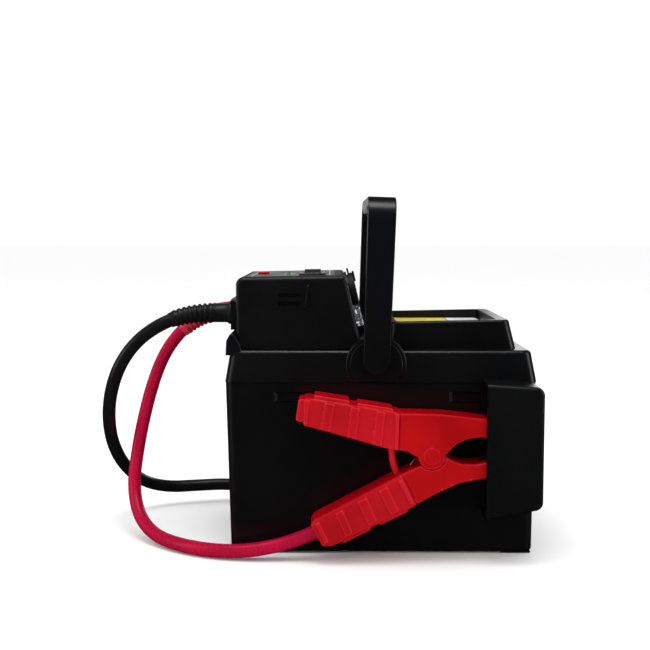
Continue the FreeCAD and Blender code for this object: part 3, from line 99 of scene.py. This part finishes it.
class Surface:
    """A material under construction: adds nodes, links them and fills the shader's sockets."""

    def __init__(self, name, **constants):
        self.material = bpy.data.materials.new(name)
        self.material.use_nodes = True
        self.tree = self.material.node_tree
        self.shader = self.tree.nodes["Principled BSDF"]
        self.place = self.node("ShaderNodeTexCoord").outputs["Object"]
        for key, value in constants.items():
            self.shader.inputs[key.replace("_", " ")].default_value = value

    def node(self, kind, inputs=None, **settings):
        made = self.tree.nodes.new(kind)
        for key, value in settings.items():
            setattr(made, key, value)
        for key, value in (inputs or {}).items():
            self.feed(made.inputs[key], value)
        return made

    def feed(self, socket, value):
        if isinstance(value, bpy.types.NodeSocket):
            self.tree.links.new(value, socket)
        else:
            socket.default_value = value

    def noise(self, scale, detail=2.0, rough=0.5, place=None):
        inputs = {
            "Vector": place or self.place, "Scale": scale, "Detail": detail, "Roughness": rough
        }
        return self.node("ShaderNodeTexNoise", inputs).outputs["Fac"]

    def stretched(self, scale):
        """The place, scaled by three numbers, for streaks."""
        inputs = {"Vector": self.place, "Scale": scale}
        return self.node("ShaderNodeMapping", inputs).outputs["Vector"]

    def spread(self, value, low, high, to_low, to_high):
        """A value between two limits, spread over two others."""
        inputs = {
            "Value": value, "From Min": low, "From Max": high, "To Min": to_low, "To Max": to_high
        }
        return self.node("ShaderNodeMapRange", inputs).outputs["Result"]

    def maths(self, operation, first, second=0.0):
        made = self.node("ShaderNodeMath", operation=operation)
        self.feed(made.inputs[0], first)
        self.feed(made.inputs[1], second)
        return made.outputs["Value"]

    def mix(self, share, first, second):
        made = self.node("ShaderNodeMix", data_type="RGBA")
        self.feed(made.inputs["Factor"], share)
        for socket, value in zip(COLOUR_SOCKETS, (first, second)):
            self.feed(made.inputs[socket], value)
        return made.outputs[COLOUR_OUTPUT]

    def axis(self, name):
        return self.node("ShaderNodeSeparateXYZ", {"Vector": self.place}).outputs[name]

    def within(self, value, low, high):
        """1 where the value is between two limits, 0 elsewhere."""
        above = self.maths("GREATER_THAN", value, low)
        below = self.maths("LESS_THAN", value, high)
        return self.maths("MULTIPLY", above, below)

    def convex(self, low, high):
        """0 on flat and hollow places, 1 on sharp outer edges of a dense mesh."""
        point = self.node("ShaderNodeNewGeometry").outputs["Pointiness"]
        return self.spread(point, low, high, 0.0, 1.0)

    def bump(self, height, distance, strength, normal=None):
        inputs = {"Height": height, "Distance": distance, "Strength": strength}
        if normal is not None:
            inputs["Normal"] = normal
        return self.node("ShaderNodeBump", inputs).outputs["Normal"]

    def done(self, colour=None, rough=None, normal=None):
        for name, value in (("Base Color", colour), ("Roughness", rough), ("Normal", normal)):
            if value is not None:
                self.feed(self.shader.inputs[name], value)
        return self.material


def tint(colour, factor):
    return tuple(min(1.0, c * factor) for c in colour) + (1.0,)


def moulded(name, colour, rough, grain, depth, scuffs=0.3, edge=None, **constants):
    """Moulded plastic: fine mould grain, faint flow marks, uneven gloss, a few light scuffs and,
    when an edge colour is given, a painted highlight on sharp edges.
    """
    s = Surface(name, **constants)
    cloud = s.noise(22.0, 3.0)
    fine = s.noise(grain, 4.0, 0.6)
    flow = s.noise(9.0, 2.0, place=s.stretched((1.0, 1.0, 6.0)))
    scratch = s.noise(170.0, 4.0, 0.7, s.stretched((0.25, 1.0, 3.0)))
    scuffed = s.spread(scratch, 0.66, 0.8, 0.0, scuffs)
    base = s.mix(s.spread(cloud, 0.3, 0.7, 0.0, 1.0), tint(colour, 0.82), tint(colour, 1.2))
    worn = tuple(c * 1.5 + 0.012 for c in colour) + (1.0,)
    base = s.mix(scuffed, base, worn)
    # painted highlight: sharp outer edges get a lighter colour, as if they caught the light
    if edge:
        base = s.mix(s.convex(EDGE_LOW, EDGE_HIGH), base, edge + (1.0,))
    uneven = s.spread(cloud, 0.25, 0.75, rough - 0.05, rough + 0.06)
    gloss = s.maths("ADD", uneven, s.maths("MULTIPLY", scuffed, 0.25))
    sink = s.bump(flow, 0.0006, 0.25)
    return s.done(base, gloss, s.bump(fine, depth, 0.6, sink))


def jacket(name, colour, rough, specular):
    """An extruded cable jacket: fine pitting, a little dust and a slightly uneven sheen."""
    s = Surface(name, Specular_IOR_Level=specular)
    lines = s.noise(520.0, 3.0, 0.6)
    cloud = s.noise(38.0, 3.0)
    fine = s.noise(2200.0, 2.0)
    base = s.mix(s.spread(cloud, 0.3, 0.7, 0.0, 1.0), tint(colour, 0.86), tint(colour, 1.14))
    gloss = s.spread(lines, 0.3, 0.7, rough - 0.05, rough + 0.08)
    normal = s.bump(fine, 0.00005, 0.4, s.bump(lines, 0.00006, 0.3))
    return s.done(base, gloss, normal)


def metal(name, colour, rough, way, tarnish=0.15):
    """Drawn or stamped metal with brush lines and a little tarnish."""
    s = Surface(name, Metallic=1.0)
    lines = s.noise(420.0, 3.0, 0.6, s.stretched(way))
    spots = s.noise(120.0, 4.0, 0.6)
    dull = s.spread(spots, 0.5, 0.75, 0.0, tarnish)
    base = s.mix(dull, tint(colour, 1.0), tint(colour, 0.45))
    uneven = s.spread(lines, 0.3, 0.7, rough - 0.07, rough + 0.09)
    gloss = s.maths("ADD", uneven, s.maths("MULTIPLY", dull, 0.8))
    return s.done(base, gloss, s.bump(lines, 0.00008, 0.4))


def foam_material():
    s = Surface("closed_cell_foam", Roughness=0.95)
    cells = s.node("ShaderNodeTexVoronoi", {"Vector": s.place, "Scale": 1100.0}).outputs["Distance"]
    base = s.mix(cells, (0.03, 0.03, 0.033, 1.0), (0.085, 0.085, 0.09, 1.0))
    return s.done(base, None, s.bump(cells, 0.0005, 0.7))


def board_material():
    """Solder mask with copper tracks and pads on a fine grid."""
    s = Surface("circuit_board", Specular_IOR_Level=0.6)
    grid = s.stretched((390.0, 390.0, 1.0))
    bricks = {"Vector": grid, "Scale": 0.35, "Mortar Size": 0.012}
    tracks = s.node("ShaderNodeTexBrick", bricks).outputs["Fac"]
    cells = {"Vector": s.place, "Scale": 330.0, "Randomness": 0.0}
    pads = s.node("ShaderNodeTexVoronoi", cells).outputs["Distance"]
    pad = s.spread(pads, 0.16, 0.2, 1.0, 0.0)
    base = s.mix(tracks, (0.012, 0.12, 0.04, 1.0), (0.03, 0.2, 0.075, 1.0))
    base = s.mix(pad, base, (0.55, 0.5, 0.3, 1.0))
    return s.done(base, s.spread(s.noise(300.0), 0.3, 0.7, 0.3, 0.42), s.bump(tracks, 0.0001, 0.6))


YELLOW_TO = 0.0468                          # X where the tray film's yellow strip ends
BORDER_X = (0.0464, 0.0472)
BORDER_Y = (0.0382, 0.0388)                 # on both sides of the middle
RULES_X = (0.052, 0.064)
RULES_PER_METRE = 220.0
RULE_SHARE = 0.16                           # of the pitch that is printed


def label_material():
    """The film in the tray: a yellow strip, a pale field and thin rules, with no lettering."""
    s = Surface("tray_film", Specular_IOR_Level=0.5)
    x = s.axis("X")
    y = s.axis("Y")
    cloud = s.noise(60.0, 3.0)
    pale = s.mix(cloud, (0.74, 0.75, 0.73, 1.0), (0.82, 0.83, 0.81, 1.0))
    yellow = s.mix(cloud, (0.72, 0.6, 0.06, 1.0), (0.8, 0.68, 0.1, 1.0))
    base = s.mix(s.within(x, 0.0, YELLOW_TO), pale, yellow)
    rules = s.maths("FRACT", s.maths("MULTIPLY", y, RULES_PER_METRE))
    lines = s.maths("MULTIPLY", s.maths("LESS_THAN", rules, RULE_SHARE), s.within(x, *RULES_X))
    base = s.mix(s.maths("MULTIPLY", lines, 0.55), base, (0.12, 0.12, 0.13, 1.0))
    side_borders = s.within(s.maths("ABSOLUTE", y), *BORDER_Y)
    borders = s.maths("MAXIMUM", s.within(x, *BORDER_X), side_borders)
    base = s.mix(s.maths("MULTIPLY", borders, 0.8), base, (0.06, 0.06, 0.065, 1.0))
    return s.done(base, s.spread(cloud, 0.3, 0.7, 0.28, 0.38), s.bump(s.noise(700.0), 0.00005, 0.4))


FRAME_LEFT = (-0.0772, -0.0766)             # the pale frame line on the housing's top film
FRAME_RIGHT = (-0.0304, -0.0298)
FRAME_SIDE = (0.0397, 0.0403)
ZONE_X = (-0.0590, -0.0515)                 # the lighter zone round the indicators
ZONE_Y = (-0.0190, 0.0070)


def overlay_material():
    """The film on the housing's top: a dark field, a pale frame line and one lighter zone."""
    s = Surface("panel_film", Specular_IOR_Level=0.5)
    x = s.axis("X")
    y = s.axis("Y")
    cloud = s.noise(80.0, 2.0)
    base = s.mix(cloud, (0.028, 0.03, 0.034, 1.0), (0.04, 0.042, 0.047, 1.0))
    frame_x = s.maths("MAXIMUM", s.within(x, *FRAME_LEFT), s.within(x, *FRAME_RIGHT))
    frame_y = s.within(s.maths("ABSOLUTE", y), *FRAME_SIDE)
    inside_x = s.within(x, FRAME_LEFT[0], FRAME_RIGHT[1])
    inside_y = s.maths("LESS_THAN", s.maths("ABSOLUTE", y), FRAME_SIDE[1])
    lines = s.maths(
        "MAXIMUM", s.maths("MULTIPLY", frame_x, inside_y), s.maths("MULTIPLY", frame_y, inside_x)
    )
    zone = s.maths("MULTIPLY", s.within(x, *ZONE_X), s.within(y, *ZONE_Y))
    base = s.mix(s.maths("MULTIPLY", zone, 0.6), base, (0.17, 0.175, 0.18, 1.0))
    base = s.mix(lines, base, (0.45, 0.46, 0.46, 1.0))
    return s.done(base, s.spread(cloud, 0.3, 0.7, 0.3, 0.42), s.bump(s.noise(1300.0), 0.00006, 0.5))


def lens_material():
    s = Surface("clear_lens", Transmission_Weight=0.92, IOR=1.49, Specular_IOR_Level=0.6)
    haze = s.noise(140.0, 3.0)
    base = s.mix(haze, (0.86, 0.9, 0.95, 1.0), (0.95, 0.97, 1.0, 1.0))
    return s.done(base, s.spread(haze, 0.3, 0.7, 0.04, 0.12), s.bump(s.noise(500.0), 0.00005, 0.3))


def led_material(name, colour):
    s = Surface(name, IOR=1.5, Subsurface_Weight=0.3, Coat_Weight=0.6)
    cloud = s.noise(500.0, 2.0)
    base = s.mix(cloud, tint(colour, 0.8), tint(colour, 1.15))
    return s.done(base, s.spread(cloud, 0.3, 0.7, 0.08, 0.18))


# the faint blue cast of these two blacks is a painted sheen, put into the colour
BLACK = (0.0026, 0.0028, 0.0038)
GLOSS_BLACK = (0.0034, 0.0036, 0.0044)
BLACK_EDGE_HIGHLIGHT = (0.016, 0.017, 0.02)          # painted highlight: the lighter colour put on sharp edges
RED = (0.33, 0.0006, 0.0022)
VINYL_RED = (0.385, 0.0008, 0.0055)
# painted highlight on the red parts' sharp edges
RED_EDGE_HIGHLIGHT = (0.56, 0.012, 0.03)
ALONG_X = (0.03, 1.0, 1.0)                 # brush lines that run along X
FINISH = {
    "black_shell": moulded("case_plastic", BLACK, 0.33, 1500.0, 0.00009, 0.2),
    "black_handle": moulded("handle_plastic", BLACK, 0.3, 1900.0, 0.00006, 0.2),
    "black_plastic": moulded(
        "gloss_black_plastic", GLOSS_BLACK, 0.25, 2400.0, 0.00004, 0.2, BLACK_EDGE_HIGHLIGHT
    ),
    "rubber_black": moulded("black_rubber", (0.006, 0.006, 0.0066), 0.55, 1300.0, 0.0001, 0.2),
    "red_plastic": moulded(
        "red_plastic", RED, 0.25, 1700.0, 0.00004, 0.1, RED_EDGE_HIGHLIGHT, Specular_IOR_Level=0.08
    ),
    "red_sleeve": moulded(
        "red_vinyl", VINYL_RED, 0.3, 1100.0, 0.00007, 0.1, RED_EDGE_HIGHLIGHT, Specular_IOR_Level=0.12
    ),
    "red_cable": jacket("red_jacket", (0.335, 0.001, 0.027), 0.24, 0.15),
    "black_cable": jacket("black_jacket", (0.005, 0.0052, 0.006), 0.32, 0.5),
    "battery_case": moulded("battery_plastic", (0.13, 0.14, 0.155), 0.5, 1200.0, 0.0001),
    "component": moulded("component_plastic", (0.022, 0.022, 0.025), 0.45, 1800.0, 0.00006),
    "steel": metal("bright_steel", (0.62, 0.62, 0.61), 0.26, ALONG_X),
    "copper": metal("plated_copper", (0.7, 0.43, 0.27), 0.32, ALONG_X, 0.4),
    "chrome": metal("bright_reflector", (0.86, 0.87, 0.88), 0.1, (1.0, 1.0, 1.0), 0.05),
    "foam": foam_material(),
    "board": board_material(),
    "label": label_material(),
    "overlay": overlay_material(),
    "clear": lens_material(),
    "led": led_material("led_epoxy", (0.8, 0.82, 0.75)),
}
HOUSING_PLASTIC = moulded("housing_plastic", BLACK, 0.43, 900.0, 0.00016)
POCKET_PLASTIC = moulded("pocket_plastic", BLACK, 0.35, 1600.0, 0.00008)
BY_NODE = {
    "control_housing": HOUSING_PLASTIC,
    "outlet_bezel": HOUSING_PLASTIC,
    "gland_plate": HOUSING_PLASTIC,
    "red_pocket": POCKET_PLASTIC,
    "black_pocket": POCKET_PLASTIC,
    "status_leds": led_material("status_led_epoxy", (0.025, 0.11, 0.035)),
}
SLOT_OF = {part["node"]: part["material_slot"] for part in frame["record"]["subparts"]}


def paint_cad_nodes():
    """Every CAD node gets its own finish, or the one of its material slot."""
    for name, node in NODES.items():
        finish = BY_NODE.get(name, FINISH[SLOT_OF[name]])
        for holder in node.material_slots:
            holder.material = finish


# ---------------------------------------------------------------- mesh helpers
def add(name, mesh, slot_name, body=None, finish=None):
    """A new piece in the scene, with the given finish or else the finish of the named material
    slot.
    """
    piece = bpy.data.objects.new(name, mesh)
    bpy.context.scene.collection.objects.link(piece)
    mesh.materials.clear()
    mesh.materials.append(finish or FINISH[slot_name])
    if body:
        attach(piece, body)
    return piece


def smooth_shaded(mesh):
    mesh.polygons.foreach_set("use_smooth", [True] * len(mesh.polygons))
    return mesh


def spline_line(route, steps, offset=(0.0, 0.0, 0.0)):
    """Points along the smooth NURBS line that a route's points control."""
    curve = bpy.data.curves.new("line", "CURVE")
    curve.dimensions = "3D"
    spline = curve.splines.new("NURBS")
    spline.points.add(len(route) - 1)
    for point, place in zip(spline.points, route):
        point.co = (*(Vector(place) + Vector(offset)), 1.0)
    spline.order_u = 3
    spline.use_endpoint_u = True
    spline.resolution_u = steps
    holder = bpy.data.objects.new("line", curve)
    mesh = bpy.data.meshes.new_from_object(holder)
    line = [v.co.copy() for v in mesh.vertices]
    bpy.data.objects.remove(holder)
    bpy.data.curves.remove(curve)
    bpy.data.meshes.remove(mesh)
    return line


def lengths_along(line):
    """The distance of each point of a line from its start."""
    total = [0.0]
    for a, b in zip(line, line[1:]):
        total.append(total[-1] + (b - a).length)
    return total


def at_distance(line, along, distance):
    """The point of a line at a distance from its start."""
    for i in range(len(line) - 1):
        if along[i + 1] >= distance:
            share = (distance - along[i]) / max(along[i + 1] - along[i], 1e-9)
            return line[i].lerp(line[i + 1], share)
    return line[-1].copy()


def swept(name, line, radii, sides):
    """A closed tube mesh along a line with a radius at each of its points."""
    side = None
    rings = []
    shape = bmesh.new()
    for i, here in enumerate(line):
        before = line[max(i - 1, 0)]
        after = line[min(i + 1, len(line) - 1)]
        way = (after - before).normalized()
        if side is None:
            side = way.orthogonal().normalized()
        side = (side - way * side.dot(way)).normalized()
        other = way.cross(side)
        ring = []
        for k in range(sides):
            turn = 2 * math.pi * k / sides
            spoke = (side * math.cos(turn) + other * math.sin(turn)) * radii[i]
            ring.append(shape.verts.new(here + spoke))
        rings.append(ring)
    for low, high in zip(rings, rings[1:]):
        for k in range(sides):
            following = (k + 1) % sides
            shape.faces.new((low[k], low[following], high[following], high[k]))
    shape.faces.new(list(reversed(rings[0])))
    shape.faces.new(rings[-1])
    bmesh.ops.recalc_face_normals(shape, faces=shape.faces)
    mesh = bpy.data.meshes.new(name)
    shape.to_mesh(mesh)
    shape.free()
    return smooth_shaded(mesh)


# ---------------------------------------------------------------- cables, boots and leads
CABLE_STEPS = 28           # points between two points of a route, and sides of the tube
LEAD_STEPS, LEAD_SIDES = 16, 20
BOOT_SIDES = 36
UNEVEN = 0.008             # share of its radius by which a cable's jacket varies


def follow_clamp(piece):
    """Bakes the piece's placement into its mesh."""
    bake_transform(piece)


BOOT_PROFILE = (                             # distance along the cable and radius, in mm
    (0.0, 6.3), (0.5, 6.85), (2.2, 6.9), (3.0, 6.45), (3.6, 5.9), (12.6, 5.75), (13.4, 6.2),
)
BOOT_RIBS = 7                                # the ribs' sizes are in mm too
RIB_START = 15.0
RIB_PITCH = 3.1
CREST_R, CREST_LESS = 6.2, 0.15              # a crest's radius, and how much less the next one's is
GROOVE, GROOVE_LESS = 0.9, 0.06
MM = 0.001


def boot_profile():
    """Radius against distance, in metres: a collar, a plain sleeve and ribs that get smaller."""
    profile = list(BOOT_PROFILE)
    for i in range(BOOT_RIBS):
        start = RIB_START + i * RIB_PITCH
        crest = CREST_R - CREST_LESS * i
        root = crest - GROOVE + GROOVE_LESS * i
        profile += [(start - 0.3, crest), (start + 0.3, root), (start + 1.0, root)]
        profile += [(start + 1.5, crest), (start + 2.5, crest - 0.05)]
    end = RIB_START + BOOT_RIBS * RIB_PITCH
    profile += [(end + 0.2, 4.85), (end + 2.6, 4.6), (end + 3.0, 4.25)]
    return [(a * MM, r * MM) for a, r in profile]


def uneven_radius(distance):
    """A cable's radius at a distance from its start, a little uneven like a real jacket."""
    wave = UNEVEN * math.sin(130.0 * distance) * math.sin(47.0 * distance + 1.0)
    return CABLE_D / 2 * (1.0 + wave)


def make_cable(colour):
    """The jacketed cable from the housing to its clamp, and the ribbed boot at its start."""
    line = spline_line(CABLE_ROUTE[colour], CABLE_STEPS)
    along = lengths_along(line)
    tube = swept(colour + "_cable_tube", line, [uneven_radius(d) for d in along], CABLE_STEPS)
    cable = add(colour + "_cable_tube", tube, colour + "_cable")
    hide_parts(colour + "_cable")
    follow_clamp(cable)
    profile = boot_profile()
    path = [at_distance(line, along, d) for d, _ in profile]
    sleeve = swept(colour + "_ribbed_boot", path, [r for _, r in profile], BOOT_SIDES)
    boot = add(colour + "_ribbed_boot", sleeve, colour + "_cable", finish=BOOT_FINISH[colour])
    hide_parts(colour + "_boot")
    follow_clamp(boot)


def make_lead(colour):
    """The lead inside the case, from a battery terminal to the gland."""
    line = spline_line(LEAD_ROUTE[colour], LEAD_STEPS)
    tube = swept(colour + "_lead_tube", line, [CABLE_D / 2] * len(line), LEAD_SIDES)
    lead = add(colour + "_lead_tube", tube, colour + "_cable", "case")
    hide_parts(colour + "_lead")


# ---------------------------------------------------------------- clamps
WIRE_R = 0.00085
WIRE_SIDES = 12
COIL_R = 0.0042
COIL_TURNS = 3.5
COIL_HALF = 0.0032
STEPS_PER_TURN = 28
UPPER_LEG = (0.0126, 0.0026, -0.0034)       # from the leg's free end to the coil
LOWER_LEG = (-0.0091, 0.0016, 0.0009)       # from the coil to the bend
LOWER_BEND = (-0.0026, 0.0, -0.0038)        # from the bend to the free end


def straight(start, way, shares):
    """Points of a straight piece of wire, at shares of its way."""
    return [Vector([a + b * share for a, b in zip(start, way)]) for share in shares]


def torsion_line(y):
    """A leg to the upper arm, the coil round the rivet, and a leg to the lower arm."""
    x, z = PIVOT
    line = straight((x - 0.0136, y + 0.0006, z + 0.0076), UPPER_LEG, [i / 12 for i in range(12)])
    steps = int(COIL_TURNS * STEPS_PER_TURN)
    for i in range(steps + 1):
        t = i / steps
        turn = math.pi / 2 - 2 * math.pi * COIL_TURNS * t
        across = y + COIL_HALF * (1 - 2 * t)
        line.append(Vector((x + COIL_R * math.cos(turn), across, z + COIL_R * math.sin(turn))))
    line += straight((x, y - COIL_HALF, z - COIL_R), LOWER_LEG, [i / 9 for i in range(1, 10)])
    bend = (x - 0.0091, y - COIL_HALF + 0.0016, z - 0.0033)
    line += straight(bend, LOWER_BEND, [i / 5 for i in range(1, 6)])
    return line


def make_spring(colour):
    """The wound spring round a clamp's rivet."""
    line = torsion_line(SIDE[colour] * CLAMP_Y)
    coil = swept(colour + "_torsion_coil", line, [WIRE_R] * len(line), WIRE_SIDES)
    spring = add(colour + "_torsion_coil", coil, "steel")
    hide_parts(colour + "_spring")
    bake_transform(spring)


BRIDGE_STEPS, BRIDGE_SIDES = 14, 18


def make_bridge(colour):
    """The short flexible wire between a clamp's two halves."""
    line = spline_line(BRIDGE_ROUTE, BRIDGE_STEPS, (0.0, SIDE[colour] * CLAMP_Y, 0.0))
    strand = swept(colour + "_bridge_strand", line, [BRIDGE_R] * len(line), BRIDGE_SIDES)
    wire = add(colour + "_bridge_strand", strand, colour + "_cable", finish=BRIDGE_FINISH[colour])
    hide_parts(colour + "_bridge_wire")
    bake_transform(wire)


VOXEL = 0.0004
PASSES = 3
SWELL = 0.00016            # closes most of the gap between a grip and its cover
WELD = 1e-6


def soft_copy(node, body):
    """A moulded piece of the CAD node's size with its edges rounded over."""
    mesh = NODES[node].data.copy()
    welded = bmesh.new()
    welded.from_mesh(mesh)
    bmesh.ops.remove_doubles(welded, verts=welded.verts, dist=WELD)
    welded.to_mesh(mesh)
    welded.free()
    source = bpy.data.objects.new("source", mesh)
    bpy.context.scene.collection.objects.link(source)
    remesh = source.modifiers.new("even", "REMESH")
    remesh.mode = "VOXEL"
    remesh.voxel_size = VOXEL
    swollen = source.modifiers.new("swollen", "DISPLACE")
    swollen.strength = SWELL
    swollen.mid_level = 0.0
    rounded = source.modifiers.new("rounded", "SMOOTH")
    rounded.factor = 0.5
    rounded.iterations = PASSES
    graph = bpy.context.evaluated_depsgraph_get()
    result = bpy.data.meshes.new_from_object(source.evaluated_get(graph))
    bpy.data.objects.remove(source)
    result.name = node + "_moulding"
    piece = add(node + "_moulding", smooth_shaded(result), SLOT_OF[node], body)
    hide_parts(node)


def make_clamp(colour):
    """A clamp's soft pieces, its spring and its wire; the metal stays as the CAD has it."""
    for part, body in (("upper", colour + "_clamp_top"), ("lower", colour + "_clamp")):
        for kind in ("cover", "grip"):
            soft_copy(f"{colour}_{part}_{kind}", body)
    make_spring(colour)
    make_bridge(colour)


BRIDGE_FINISH = {"red": FINISH["red_sleeve"], "black": FINISH["black_plastic"]}
BOOT_FINISH = {
    "red": moulded("red_boot_vinyl", (0.5, 0.004, 0.03), 0.38, 1400.0, 0.00008, 0.1),
    "black": moulded("black_boot_vinyl", (0.006, 0.006, 0.0065), 0.42, 1400.0, 0.00008, 0.2),
}

paint_cad_nodes()
for colour in COLOURS:
    make_cable(colour)
    make_lead(colour)
    make_clamp(colour)


# ---------------------------------------------------------------- floor, light and camera
FLOOR_HALF = 14.0
PAPER = ((0.88, 0.88, 0.88, 1.0), (0.9, 0.9, 0.9, 1.0))
PAPER_ROUGH = 0.9
WORLD_STRENGTH = 1.15
WHITE = (1.0, 1.0, 1.0, 1.0)
FOCAL_MM = 58.83
SENSOR_MM = 36.0
CAMERA_PLACE = (-0.029946, -0.674, 0.19082)
CAMERA_PITCH = 5.004       # degrees below the horizon
CAMERA_YAW = 0.2697        # degrees to the left of +Y
MIDDLE = (0.0, 0.0, 0.1)   # what every light is turned to


def make_floor():
    """A wide sheet of white paper."""
    half = FLOOR_HALF
    mesh = bpy.data.meshes.new("floor")
    corners = [(-half, -half, 0.0), (half, -half, 0.0), (half, half, 0.0), (-half, half, 0.0)]
    mesh.from_pydata(corners, [], [(0, 1, 2, 3)])
    floor = bpy.data.objects.new("floor", mesh)
    bpy.context.scene.collection.objects.link(floor)
    s = Surface("floor_paper", Specular_IOR_Level=0.1)
    cloud = s.noise(3.0, 2.0)
    mesh.materials.append(s.done(s.mix(cloud, *PAPER), PAPER_ROUGH))
    floor.visible_glossy = False


def area_light(name, place, size, radiance, diffuse=True):
    """A rectangular softbox, turned to the object's middle, with the same radiance all over."""
    lamp = bpy.data.lights.new(name, "AREA")
    lamp.shape = "RECTANGLE"
    lamp.size, lamp.size_y = size
    lamp.energy = radiance * math.pi * size[0] * size[1]
    holder = bpy.data.objects.new(name, lamp)
    bpy.context.scene.collection.objects.link(holder)
    holder.location = place
    way = Vector(MIDDLE) - Vector(place)
    holder.rotation_euler = way.to_track_quat("-Z", "Y").to_euler()
    holder.visible_camera = False
    holder.visible_diffuse = diffuse


def make_world():
    """Even white light from all round, which glossy rays don't see."""
    world = bpy.data.worlds.new("studio")
    world.use_nodes = True
    sockets = world.node_tree.nodes["Background"].inputs
    sockets["Color"].default_value = WHITE
    sockets["Strength"].default_value = WORLD_STRENGTH
    world.cycles_visibility.glossy = False
    bpy.context.scene.world = world


def make_camera():
    lens = bpy.data.cameras.new("camera")
    lens.lens = FOCAL_MM
    lens.sensor_width = SENSOR_MM
    camera = bpy.data.objects.new("camera", lens)
    bpy.context.scene.collection.objects.link(camera)
    camera.location = CAMERA_PLACE
    pitch = math.radians(CAMERA_PITCH)
    yaw = math.radians(CAMERA_YAW)
    level = math.cos(pitch)
    forward = Vector((-math.sin(yaw) * level, math.cos(yaw) * level, -math.sin(pitch)))
    camera.rotation_euler = forward.to_track_quat("-Z", "Y").to_euler()
    bpy.context.scene.camera = camera


make_floor()
make_world()
make_camera()
area_light("top_box", (-0.1, -0.25, 1.3), (0.8, 0.5), 5.0)
area_light("left_strip", (-1.1, -0.35, 0.4), (0.3, 0.9), 2.2)
area_light("right_strip", (1.1, -0.3, 0.45), (0.35, 0.9), 2.8)
area_light("back_wall", (0.0, 1.7, 0.75), (3.0, 1.4), 0.14, diffuse=False)
area_light("back_right", (0.62, 1.7, 0.4), (0.6, 0.8), 2.4, diffuse=False)
area_light("back_left", (-0.9, 1.3, 0.4), (0.4, 0.8), 3.0, diffuse=False)
area_light("back_low", (-0.14, 1.7, 0.3), (0.3, 0.5), 0.7, diffuse=False)
area_light("front_fill", (0.0, -1.8, 0.9), (2.4, 1.2), 0.03, diffuse=False)
bpy.context.scene.view_settings.view_transform = "Standard"
